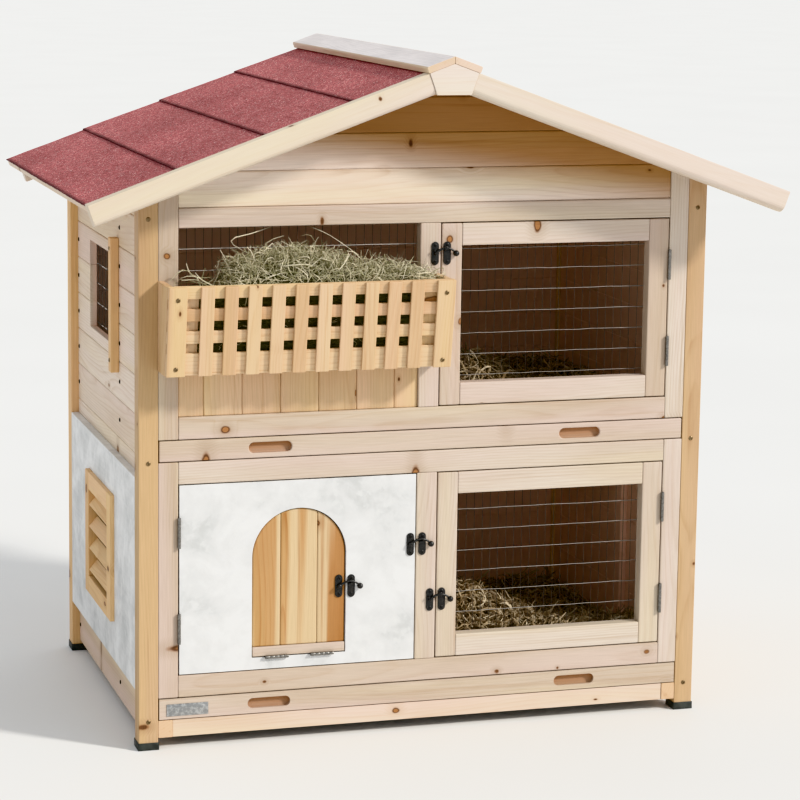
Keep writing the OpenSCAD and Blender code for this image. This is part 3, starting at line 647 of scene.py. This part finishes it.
def boards(node, material, edge=0.0012, tones=None, routed=False):
    """Rebuilds a wooden node board by board, with softened edges and its own grain each.

    tones sets how dark each board is, and routed paints shade into finger grips.
    """
    rng = np.random.default_rng([0, *node.encode()])
    heap = Heap()
    for i, part in enumerate(solids(node)):
        to_grain = grain_frame(part, rng)
        tone = tones[i % len(tones)] if tones else rng.beta(0.9, 1.8)
        soften(part, edge)
        verts, faces = harvest(part)
        points = np.asarray(verts)
        heap.add(verts, faces, grain=to_grain(points), tone=tone + np.zeros(len(verts)),
                 routed=routed_depth(points) if routed else np.zeros(len(verts)),
                 lining=lining(node, points))
    heap.stand_in(node, "_wood", material)


def hard_part(node, material, edge, smooth):
    """Rebuilds a node of metal, sheet or plastic with softened edges and smooth rounds."""
    heap = Heap()
    for part in solids(node):
        soften(part, edge)
        heap.add(*harvest(part))
    heap.stand_in(node, "_shape", material, smooth)


def loft(rings, sides, start=0, caps=True):
    """Faces that join rings of vertices one after another, and close both ends."""
    faces = []
    for i in range(start, start + (rings - 1) * sides, sides):
        for k in range(sides):
            a, b = i + k, i + (k + 1) % sides
            faces.append([a, b, b + sides, a + sides])
    if caps:
        faces.append(list(range(sides - 1, -1, -1)))
        faces.append(list(range((rings - 1) * sides, rings * sides)))
    return faces


def slab(rows, columns):
    """Faces of a sheet: a grid of vertices, the same grid on its other side, and the rim."""
    grid = np.arange(rows * columns).reshape(rows, columns)
    a = grid[:-1, :-1].ravel()
    near = np.stack([a, a + columns, a + columns + 1, a + 1], 1)
    far = np.stack([a, a + 1, a + columns + 1, a + columns], 1) + grid.size
    rim = np.concatenate([grid[0], grid[1:, -1], grid[-1, -2::-1], grid[-2:0:-1, 0]])
    after = np.roll(rim, -1)
    wall = np.stack([after, after + grid.size, rim + grid.size, rim], 1)
    return np.concatenate([near, far, wall]).tolist()


def turns_of(sides):
    """Angles of equal steps round a circle."""
    return [2 * math.pi * k / sides for k in range(sides)]


def tube(points, radii, sides, squash=1.0):
    """A closed tube along points. squash flattens it in Y."""
    points = np.asarray(points, float)
    radii = np.broadcast_to(radii, len(points))
    tangents = np.gradient(points, axis=0)
    tangents /= np.linalg.norm(tangents, axis=1)[:, None]
    side = np.cross(tangents, [0.0, 1.0, 0.0])
    side[np.linalg.norm(side, axis=1) < 1e-6] = [1.0, 0.0, 0.0]
    side /= np.linalg.norm(side, axis=1)[:, None]
    other = np.cross(tangents, side)
    verts = []
    for point, radius, a, b in zip(points, radii, side, other):
        for t in turns_of(sides):
            verts.append(point + radius * (math.cos(t) * a + math.sin(t) * b) * (1, squash, 1))
    return verts, loft(len(points), sides)


def turned(profile, centre, axis, sides):
    """A turned shape: profile is (distance along axis, radius) from the tip to the back."""
    axis = Vector(axis).normalized()
    a, b = square_to(axis)
    verts = [Vector(centre) + axis * distance + radius * (math.cos(t) * a + math.sin(t) * b)
             for distance, radius in profile for t in turns_of(sides)]
    return verts, loft(len(profile), sides)


RECESS_HALF, RECESS_REACH = 0.13, 0.62   # cross recess, as shares of the radius of its head
RECESS_FLOOR, DOME = 0.10, 0.42          # heights, as shares of the radius


def screw_head(centre, outward, radius, turn=0.0):
    """Domed screw head with a cross recess, its back on centre."""
    outward = Vector(outward).normalized()
    a, b = square_to(outward)
    rings, sides = 13, 36
    verts = [Vector(centre) + outward * radius * RECESS_FLOOR]
    for share in (i / rings for i in range(1, rings + 1)):
        for t in turns_of(sides):
            x, y = share * math.cos(t), share * math.sin(t)
            u = abs(x * math.cos(turn) + y * math.sin(turn))
            v = abs(y * math.cos(turn) - x * math.sin(turn))
            height = DOME * math.sqrt(max(0.0, 1 - share ** 2.4))
            if min(u, v) < RECESS_HALF and max(u, v) < RECESS_REACH:
                height = RECESS_FLOOR
            verts.append(Vector(centre) + radius * (x * a + y * b + height * outward))
    tip = [[0, 1 + (k + 1) % sides, 1 + k] for k in range(sides)]
    return verts, tip + loft(rings, sides, start=1, caps=False)


# ---- timber ----

TIMBER = {
    "wall_pine": "base_board back_wall_boards left_wall_boards right_wall_boards partition "
                 "roof_deck_left roof_deck_right inner_batten",
    "gable_pine": "front_gable_boards",
    "pale_pine": "bargeboards keystone",
    "pine": "pop_door_rail",
    "post_pine": "front_posts",
    "warm_pine": "tray_runners rack_end_panels rack_rails rack_inner_boards",
    "golden_pine": "back_posts window_batten vent_frame vent_slats",
    "ridge_pine": "ridge_cap",
}
FRAMES = ("lower_frame_stiles lower_frame_rails upper_frame_stiles upper_frame_rails "
          "upper_door_frame lower_door_frame")
FRAME_EDGE = 0.0018   # rounding of the members that doors close against


def make_timber():
    for material, nodes in TIMBER.items():
        for node in nodes.split():
            boards(node, material)
    for node in FRAMES.split():
        boards(node, "pine", edge=FRAME_EDGE)
    # The tray fronts get painted shade in their finger grips.
    for node in ("upper_tray_front", "lower_tray_front"):
        boards(node, "pine", edge=FRAME_EDGE, routed=True)
    boards("pop_door_boards", "pop_pine", edge=0.0024, tones=(0.25, 0.0, 1.25))
    boards("infill_boards", "warm_pine", edge=0.0026)
    boards("rack_front_slats", "warm_pine",
           tones=(0.75, 0.2, 0.55, 1.0, 0.1, 0.35, 0.9, 0.15, 0.65, 0.45, 0.85))


# ---- sheet, felt and metal ----

LATCH_PLATES = ("frame_latch_plates upper_door_latch_plate lower_door_latch_plate "
                "house_door_latch_plates pop_door_latch_plate")

# Material, rounding of the edges, angle up to which faces blend, nodes.
HARD_PARTS = (
    ("insulated_panel", 0.0008, 12, "house_door_panel insulation_panel"),
    ("tray_sheet", 0.0008, 12, "upper_tray_pan lower_tray_pan"),
    ("foot_cap", 0.0012, 50, "foot_caps"),
    ("name_plate", 0.0004, 30, "name_plate"),
    ("zinc_hinge", 0.00015, 40,
     "frame_hinges upper_door_hinges lower_door_hinges house_door_hinges pop_door_hinges"),
    ("black_metal", 0.0006, 40, LATCH_PLATES),
)


def make_hard_parts():
    for material, edge, smooth, nodes in HARD_PARTS:
        for node in nodes.split():
            hard_part(node, material, edge, smooth)


def make_felt():
    """Each strip becomes a slightly wavy sheet with an uneven lower edge."""
    for side, node in ((-1, "roof_felt_left"), (1, "roof_felt_right")):
        rng = np.random.default_rng([7, side + 1])
        heap = Heap()
        for part in solids(node):
            felt_strip(heap, part, side, rng)
        heap.stand_in(node, "_sheet", "roof_felt", 30)


STRIP = 0.17          # how far a strip of felt runs down the slope, near enough


def felt_strip(heap, part, side, rng):
    """One strip, re-cut as a fine grid between the corners of its CAD solid."""
    points, lo, hi = corners(part)
    section = points[np.abs(points[:, 1] - lo[1]) < 1e-4]
    section = section[np.argsort(np.abs(section[:, 0]))]
    ends = (section[:2], section[-2:])                    # corners by the ridge, by the eaves
    top = [pair[np.argmax(pair[:, 2])] for pair in ends]
    base = [pair[np.argmin(pair[:, 2])] for pair in ends]
    rows, columns = 25, 91
    phase = rng.uniform(0, 100)
    verts, edge = [], []
    for layer in (top, base):
        for share in np.linspace(0, 1, rows):
            for y in np.linspace(lo[1], hi[1], columns):
                ragged = 0.0016 * noise.noise(Vector((y * 60, phase, 0))) * (share > 0.99)
                x, _, z = layer[0] + (layer[1] - layer[0]) * (share - abs(ragged) / STRIP)
                lift = 0.0005 * noise.noise(Vector((share * 5, y * 14, phase)))
                lift -= 0.0004 * (1 - share)
                verts.append((x, y, z + (lift if layer is top else min(lift, 0.0))))
                edge.append((1 - share) * STRIP)
    faces = slab(rows, columns)
    if side < 0:
        faces = [face[::-1] for face in faces]
    heap.add(verts, faces, edge=edge)


# ---- wire mesh ----

WIRE = 0.0018             # wire of the CAD mesh, which sets where the wires stand
LEVEL_R, UPRIGHT_R = 0.00072, 0.00044
UPRIGHT_DEPTH = 0.0012    # the uprights lie behind the level wires
PITCH_ACROSS, PITCH_UP = 0.0154, 0.0384


def make_mesh(node, wire_shade, turn=False):
    """Welded mesh of round wires. wire_shade is the painted shade of its level and of its upright wires.

    turn stands it in a side wall, facing -X.
    """
    lo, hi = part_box(node)
    a0, a1 = (lo[1], hi[1]) if turn else (lo[0], hi[0])
    face, inward = (hi[0], -1) if turn else (lo[1], 1)
    rng = np.random.default_rng([11, *node.encode()])
    heap = Heap()

    def add_wire(line, depth, radius, sides, tone):
        """One wire through points (across, up) of the mesh."""
        deep = face + inward * depth
        path = [(deep, a, z) if turn else (a, deep, z) for a, z in line]
        verts, faces = tube(path, radius, sides)
        heap.add(verts, faces, tone=[tone] * len(verts))

    columns = math.floor((a1 - a0 - WIRE) / 2 / PITCH_ACROSS)
    rows = math.floor((hi[2] - lo[2] - WIRE) / PITCH_UP)
    first = lo[2] + (hi[2] - lo[2] - rows * PITCH_UP) / 2
    for i in range(-columns, columns + 1):
        a = (a0 + a1) / 2 + i * PITCH_ACROSS + rng.normal(0, 0.00022, 9)
        add_wire(zip(a, np.linspace(lo[2], hi[2], 9)), UPRIGHT_DEPTH, UPRIGHT_R, 6, wire_shade[1])
    for j in range(rows + 1):
        z = first + j * PITCH_UP + rng.normal(0, 0.00028, 15)
        add_wire(zip(np.linspace(a0, a1, 15), z), LEVEL_R, LEVEL_R * (1.25 if turn else 1), 8,
                 wire_shade[0])
    heap.stand_in(node, "_wires", "wire", 60)


# ---- latches and screws ----

KNOB_R, ARM_R, ARM_TIP_R = 0.0055, 0.0025, 0.0018
ARM_SPAN, ARM_RISE = 0.038, 0.00934
THIN = 0.00001        # closes a turned shape without a face of no size

# Outlines of a lever's turned ends, as (distance toward the viewer, radius).
BOSS = ((0.0026, THIN), (0.0026, 0.0022), (0.0022, 0.0030), (0.0017, 0.0040), (0.0008, 0.0045),
        (-0.0014, 0.0045), (-0.0018, 0.0041), (-0.0018, THIN))
TAIL = ((0.0017, THIN), (0.0017, 0.0018), (0.0008, 0.0030), (-0.0008, 0.0032),
        (-0.0016, 0.0028), (-0.0016, THIN))


def make_lever(node, joint):
    """Bowed arm with a round section, a domed boss on its rivet and a ball at its end."""
    lo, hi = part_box(node)
    x, y, z = hi[0] - KNOB_R - ARM_SPAN, lo[1] + KNOB_R + 0.001, lo[2] + KNOB_R
    bow_r = (ARM_RISE ** 2 + ARM_SPAN ** 2 / 4) / (2 * ARM_RISE)
    reach = math.asin(ARM_SPAN / 2 / bow_r)
    share = np.linspace(0, 1, 26)
    path = [(x + ARM_SPAN / 2 + bow_r * math.sin(t), y, z + ARM_RISE - bow_r * (1 - math.cos(t)))
            for t in np.linspace(-reach, reach * 0.97, len(share))]
    radii = ARM_R + (ARM_TIP_R - ARM_R) * share + 0.006 * np.maximum(0, share - 0.9)
    knob = [(KNOB_R * math.cos(t), max(THIN, KNOB_R * math.sin(t)))
            for t in np.linspace(0, math.pi, 16)]
    pivot = JOINTS[joint]["pos_m"]
    front = (0, -1, 0)
    heap = Heap()
    heap.add(*tube(path, radii, 14, squash=0.8))
    heap.add(*turned(knob, (x + ARM_SPAN, lo[1] + KNOB_R, z), front, 28))
    heap.add(*turned(BOSS, (pivot[0], y, pivot[2]), front, 32))
    heap.add(*turned(TAIL, (x, y, z), front, 24))
    heap.stand_in(node, "_cast", "black_metal", 50)


SCREW_R, PLATE_SCREW_R = 0.0042, 0.0030
PLATE_SCREW_OFF = 0.0150                 # from the middle of a latch plate
PLATE_LEAST, BOARD_LEAST = 0.03, 0.05    # a lower plate or board than this takes no screws


def make_plate_screws():
    """Two screws in each latch plate."""
    rng = np.random.default_rng(23)
    for node in LATCH_PLATES.split():
        heap = Heap()
        for part in solids(node):
            _, lo, hi = corners(part)
            if hi[2] - lo[2] < PLATE_LEAST:
                continue
            for side in (-1, 1):
                z = (lo[2] + hi[2]) / 2 + side * PLATE_SCREW_OFF
                spot = ((lo[0] + hi[0]) / 2, lo[1], z)
                heap.add(*screw_head(spot, (0, -1, 0), PLATE_SCREW_R, rng.uniform(0, math.pi)))
        heap.piece(node + "_screws", "black_metal", BODY_OF[node], SLOT_OF[node], (), 40)


def make_timber_screws():
    """Yellow zinc screws where the CAD heads are, each square to the face it is in."""
    rng = np.random.default_rng(29)
    heap = Heap()
    for part in solids("timber_screws"):
        points, _, _ = corners(part)
        centre = points.mean(axis=0)
        _, _, axes = np.linalg.svd(points - centre)
        outward = axes[2] * (-1 if axes[2] @ [1.0, 2.0, 0.0] > 0 else 1)
        depth = (points - centre) @ outward
        spot = centre + outward * depth.min()
        heap.add(*screw_head(spot, outward, SCREW_R, rng.uniform(0, math.pi)))
    heap.piece("timber_screws_heads", "yellow_zinc", "hutch", SLOT_OF["timber_screws"],
               ("timber_screws",), 40)


def make_wall_screws():
    """A black screw near each end of every side wall board."""
    rng = np.random.default_rng(31)
    heap = Heap()
    batten_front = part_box("window_batten")[0][1]
    for node, side in (("left_wall_boards", -1), ("right_wall_boards", 1)):
        lo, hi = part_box(node)
        columns = (batten_front - 0.006 if side < 0 else lo[1] + 0.012, hi[1] - 0.010)
        levels = set()
        for part in solids(node):
            _, low, high = corners(part)
            if high[2] - low[2] > BOARD_LEAST:
                levels.add(round(float(low[2] + high[2]) / 2, 3))
        face = lo[0] if side < 0 else hi[0]
        for z in sorted(levels):
            for y in columns:
                turn = rng.uniform(0, math.pi)
                heap.add(*screw_head((face, y, z), (side, 0, 0), SCREW_R, turn))
    heap.piece("wall_screws", "black_screw", "hutch", "black_metal", (), 40)


# ---- hay and straw ----


def smooth_step(value, low, high):
    """0 below low, 1 above high, smooth between."""
    share = np.clip((value - low) / (high - low), 0, 1)
    return share * share * (3 - 2 * share)


def hump(x, y, centre, spread):
    """A round heap, 1 high at its centre."""
    return np.exp(-((x - centre[0]) / spread[0]) ** 2 - ((y - centre[1]) / spread[1]) ** 2)


def stalks(centres, heads, rng, length, curl, points=8):
    """Curved lines through centres that run along heads."""
    heads = heads / np.linalg.norm(heads, axis=1)[:, None]
    reach = rng.uniform(*length, len(centres))[:, None, None]
    bend, wave = rng.normal(0, 1, (2, len(centres), 3))
    bend -= (bend * heads).sum(axis=1)[:, None] * heads
    t = np.linspace(-0.5, 0.5, points)[None, :, None]
    lines = centres[:, None] + reach * (heads[:, None] * t + curl * bend[:, None] * (t ** 2 - 0.08))
    return lines + 0.12 * curl * reach * wave[:, None] * np.sin(2 * np.pi * t)


def weave(heap, lines, radius, rng, tones=(1.3, 1.5)):
    """Adds a thin tapering tube along each line. tones shapes the spread of their shades."""
    sides = 4
    count, points, _ = lines.shape
    tangent = np.gradient(lines, axis=1)
    tangent /= np.linalg.norm(tangent, axis=2)[..., None] + 1e-12
    a = np.cross(tangent, rng.normal(0, 1, (count, 1, 3)))
    a /= np.linalg.norm(a, axis=2)[..., None] + 1e-12
    b = np.cross(tangent, a)
    thick = rng.uniform(*radius, count)[:, None, None]
    taper = (1 - 0.6 * np.abs(np.linspace(-1, 1, points)) ** 3)[None, :, None]
    turns = np.array(turns_of(sides))[None, None, :, None]
    ring = np.cos(turns) * a[:, :, None] + 0.5 * np.sin(turns) * b[:, :, None]
    verts = (lines[:, :, None] + ring * (thick * taper)[:, :, None]).reshape(-1, 3)
    starts = np.arange(count)[:, None, None] * points * sides
    faces = (starts + np.array(loft(points, sides))).reshape(-1, sides)
    heap.add(verts.tolist(), faces.tolist(),
             tone=np.repeat(rng.beta(*tones, count), points * sides),
             along=np.tile(np.repeat(np.linspace(0, 1, points), sides), count))


def rack_crown(x):
    """How far the hay stands above the top of the rack, along the rack."""
    peak = -0.268
    flank = smooth_step(x, -0.395, -0.350) * (0.72 + 0.28 * smooth_step(x, -0.360, peak))
    tail = np.exp(-((x - peak) / 0.14) ** 2)
    heap = 0.056 * np.where(x < peak, flank, tail)
    shoulder = 0.021 * smooth_step(x, -0.20, -0.12) * smooth_step(-x, 0.030, 0.075)
    return np.maximum(heap, shoulder) - 0.012 - 0.035 * smooth_step(-x, 0.370, 0.400)


class Rack:
    """The room for hay between the leaning front of the rack and the mesh behind it."""

    def __init__(self):
        lo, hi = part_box("rack_front_slats")
        mesh_lo, mesh_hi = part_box("front_mesh")
        self.base, self.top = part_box("rack_inner_boards")[0][2] + 0.011, hi[2]
        self.front_top, self.back = lo[1] + 0.015, mesh_lo[1] - 0.003
        self.lean = (hi[1] - 0.006 - lo[1]) / (hi[2] - lo[2])
        self.left, self.right = mesh_lo[0] + 0.018, mesh_hi[0] - 0.020
        self.mesh, self.end, self.ceiling = mesh_lo[1], hi[0] - 0.016, mesh_hi[2] - 0.014
        self.middle = (self.front_top + self.back) / 2
        self.half = (self.back - self.front_top) / 2

    def front(self, z):
        """Where the hay meets the front boards at height z."""
        return self.front_top + np.maximum(0, self.top - z) * self.lean

    def over_crown(self, rng, count, low, high, lift):
        """Centres and headings of stems that lie on the crown from low to high."""
        x = rng.uniform(low, high, count)
        phi = np.arccos(rng.uniform(-1, 1, count))
        crown = np.maximum(rack_crown(x), -0.030) + rng.uniform(-0.003, lift, count)
        y = self.middle - self.half * np.cos(phi)
        z = self.top - 0.010 + (crown + 0.010) * np.sin(phi)
        turn = rng.uniform(0, 2 * np.pi, count)
        heads = np.stack([np.cos(turn), np.sin(turn) * np.sin(phi),
                          np.sin(turn) * np.cos(phi) + rng.normal(0.05, 0.22, count)], 1)
        return np.stack([x, y, z], 1), heads

    def keep_inside(self, lines):
        """Pushes stems back behind the front boards, and off the mesh and the frame."""
        x, y, z = np.moveaxis(lines, -1, 0)
        y = np.clip(y, self.front(z), self.back)
        x = np.where(y > self.mesh - 0.030, np.clip(x, self.left - 0.008, self.right), x)
        x = np.clip(x, self.left - 0.030, self.end)
        return np.stack([x, y, np.clip(z, self.base, self.ceiling)], -1)


def make_hay_core(rack):
    """Dark core of painted shade in the hay: sections along the rack, each a closed ring of points."""
    stations = np.linspace(rack.left, rack.right, 70)
    shelf, skirt = rack.top - 0.012, rack.top - 0.07
    verts = []
    for x in stations:
        rise = rack_crown(x) + 0.005
        ring = [(rack.back, rack.base), (rack.front(rack.base), rack.base),
                (rack.front(skirt), skirt)]
        ring += [(rack.middle - rack.half * math.cos(t), shelf + rise * math.sin(t))
                 for t in np.linspace(0, math.pi, 11)]
        for y, z in ring:
            lump = 0.004 * noise.noise(Vector((x * 45, y * 60, z * 60)))
            verts.append((x, min(max(y + lump, rack.front_top + 0.001), rack.back), z + lump))
    piece("rack_hay_core", verts, loft(len(stations), len(ring)), "hay_core_shade", "hutch",
          "warm_pine", smooth=60)


# Two stray straws, as (x, z) points that rise toward the mesh.
STRAYS = (((-0.347, 0.893), (-0.356, 0.898), (-0.367, 0.905), (-0.369, 0.911),
           (-0.359, 0.916), (-0.332, 0.920), (-0.309, 0.925), (-0.289, 0.930)),
          ((-0.110, 0.852), (-0.118, 0.858), (-0.134, 0.873), (-0.154, 0.892),
           (-0.175, 0.907), (-0.187, 0.915), (-0.205, 0.924), (-0.222, 0.930)))


def make_rack_hay():
    """Hay in the rack: a dark core of painted shade, tangled stems over it, and long loose stems."""
    rng = np.random.default_rng(101)
    rack = Rack()
    make_hay_core(rack)
    heap = Heap()

    def lay(centres, heads, length, curl, radius=(0.0005, 0.0011), points=8):
        lines = stalks(centres, heads, rng, length, curl, points)
        weave(heap, rack.keep_inside(lines), radius, rng)

    lay(*rack.over_crown(rng, 2100, -0.385, rack.right, 0.005), (0.025, 0.075), 1.1)

    count = 420                                   # stems seen between the slats
    z = rng.uniform(rack.base + 0.01, rack.top - 0.004, count)
    x = rng.uniform(rack.left - 0.02, rack.right + 0.02, count)
    y = rack.front(z) + rng.uniform(0.001, 0.010, count)
    heads = rng.normal(0, 1, (count, 3)) * (1, 0.15, 0.6)
    lay(np.stack([x, y, z], 1), heads, (0.025, 0.06), 0.8)

    loose, heads = rack.over_crown(rng, 70, -0.350, -0.090, 0.008)
    heads[:, 2] = np.abs(heads[:, 2]) + rng.uniform(0.2, 0.9, len(heads))
    lay(loose, heads, (0.045, 0.080), 1.2, (0.0006, 0.0011), points=10)

    for count, low, high, rise in ((36, -0.075, -0.012, 0.10), (9, rack.left, -0.405, 0.45)):
        ends = np.stack([rng.uniform(low, high, count),
                         rng.uniform(rack.front_top, rack.mesh - 0.035, count),
                         rack.top + rng.uniform(0.001, 0.012, count)], 1)
        heads = rng.normal(0, 1, (count, 3)) * (1, 0.3, rise)
        lay(ends, heads, (0.05, 0.09), 0.6, (0.0006, 0.0012))

    for path in STRAYS:
        depth = np.linspace(rack.middle - 0.012, rack.back - 0.002, len(path))
        line = np.array([(x, y, z) for (x, z), y in zip(path, depth)])
        weave(heap, line[None], (0.0009, 0.0010), rng, tones=(5, 1))
    heap.piece("rack_hay", "hay", "hutch", "warm_pine")


def make_bedding(node, seed, count, height):
    """Litter on a tray, height(x, y) deep."""
    rng = np.random.default_rng(seed)
    lo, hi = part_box(node)
    floor = lo[2] + 0.003
    x0, x1, y0, y1 = lo[0] + 0.008, hi[0] - 0.008, lo[1] + 0.010, hi[1] - 0.010
    rows, columns = 70, 120
    xs, ys = np.meshgrid(np.linspace(x0, x1, columns), np.linspace(y0, y1, rows))
    deepest = height(xs, ys).max()
    lumps = [noise.noise(Vector((x * 38, y * 38, seed))) for x, y in zip(xs.ravel(), ys.ravel())]
    tops = floor + np.maximum(height(xs, ys) * 0.94 + 0.006 * np.reshape(lumps, xs.shape), 0.001)
    layers = [np.stack([xs, ys, zs], -1).reshape(-1, 3) for zs in (np.full_like(xs, floor), tops)]
    # A dark core of painted shade under the straw stalks.
    core = piece(node + "_litter_core", np.concatenate(layers).tolist(), slab(rows, columns),
                 "straw_core_shade", BODY_OF[node], SLOT_OF[node], smooth=60)

    # Three times too many places are drawn, and those where the litter is deep are preferred.
    px, py = rng.uniform(x0, x1, count * 3), rng.uniform(y0, y1, count * 3)
    likely = height(px, py) / deepest
    chosen = np.argsort(rng.uniform(0, 1, count * 3) / (0.08 + likely))[:count]
    px, py = px[chosen], py[chosen]
    step = 0.01
    slope_x = (height(px + step, py) - height(px - step, py)) / (2 * step)
    slope_y = (height(px, py + step) - height(px, py - step)) / (2 * step)
    turn = rng.uniform(0, 2 * np.pi, count)
    rise = slope_x * np.cos(turn) + slope_y * np.sin(turn) + rng.normal(0.08, 0.50, count)
    heads = np.stack([np.cos(turn), np.sin(turn), rise], 1)
    centres = np.stack([px, py, floor + height(px, py) + rng.uniform(-0.004, 0.007, count)], 1)
    lines = stalks(centres, heads, rng, (0.02, 0.065), 0.5, 6)
    lines = np.clip(lines, (x0, y0, floor), (x1, y1, floor + deepest + 0.012))
    heap = Heap()
    weave(heap, lines, (0.0009, 0.0029), rng, tones=(0.9, 1.4))
    stems = heap.piece(node + "_litter", "straw", BODY_OF[node], SLOT_OF[node])
    for part in (core, stems):
        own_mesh(part)


def upper_litter(x, y):
    """A thin bed that rises to a heap beside the partition."""
    return (0.010 + 0.035 * smooth_step(x, 0.0, 0.10)
            + 0.092 * hump(x, y, (0.120, -0.10), (0.120, 0.12)))


def lower_litter(x, y):
    """Deep straw in the open run only: the partition stands just above the tray."""
    run = smooth_step(x, 0.014, 0.050)
    front = 0.035 + 0.050 * smooth_step(-y, 0.02, 0.24)
    return 0.010 + run * (front + 0.082 * hump(x, y, (0.10, -0.17), (0.14, 0.11)))


# ---- stage ----


def make_stage():
    """Wide pale floor, a soft sun from the front right, and an even pale sky."""
    mesh = bpy.data.meshes.new("floor")
    half = 400
    mesh.from_pydata([(-half, -half, 0), (half, -half, 0), (half, half, 0), (-half, half, 0)], [],
                     [(0, 1, 2, 3)])
    mesh.materials.append(MATERIALS["floor"])
    add_object("floor", mesh)

    world = bpy.data.worlds.new("studio")
    world.use_nodes = True
    sky = world.node_tree.nodes["Background"].inputs
    sky["Color"].default_value = (0.95, 0.975, 1.0, 1)
    sky["Strength"].default_value = 0.80
    bpy.context.scene.world = world

    data = bpy.data.lights.new("sun", "SUN")
    data.energy = 3.1
    data.angle = math.radians(7)
    data.color = (1.0, 0.965, 0.905)
    lamp = add_object("sun", data)
    lamp.rotation_mode = "QUATERNION"
    lamp.rotation_quaternion = Vector((-1.29, 1.0, -1.08)).to_track_quat("-Z", "Y")
    bpy.context.scene.view_settings.view_transform = "Khronos PBR Neutral"


make_camera()
make_materials()
make_timber()
make_hard_parts()
make_felt()
# Painted shade on the wires: uprights dark, door level wires half dark, front and window level wires near bright.
make_mesh("upper_door_mesh", (0.60, 0.92))
make_mesh("lower_door_mesh", (0.60, 0.92))
make_mesh("front_mesh", (0.15, 0.92))
make_mesh("window_mesh", (0.0, 0.60), turn=True)
for latch in ("upper", "lower", "house", "pop"):
    make_lever(latch + "_latch_lever", latch + "_latch_turn")
make_plate_screws()
make_timber_screws()
make_wall_screws()
make_rack_hay()
make_bedding("upper_tray_pan", 211, 2800, upper_litter)
make_bedding("lower_tray_pan", 223, 3600, lower_litter)
make_stage()
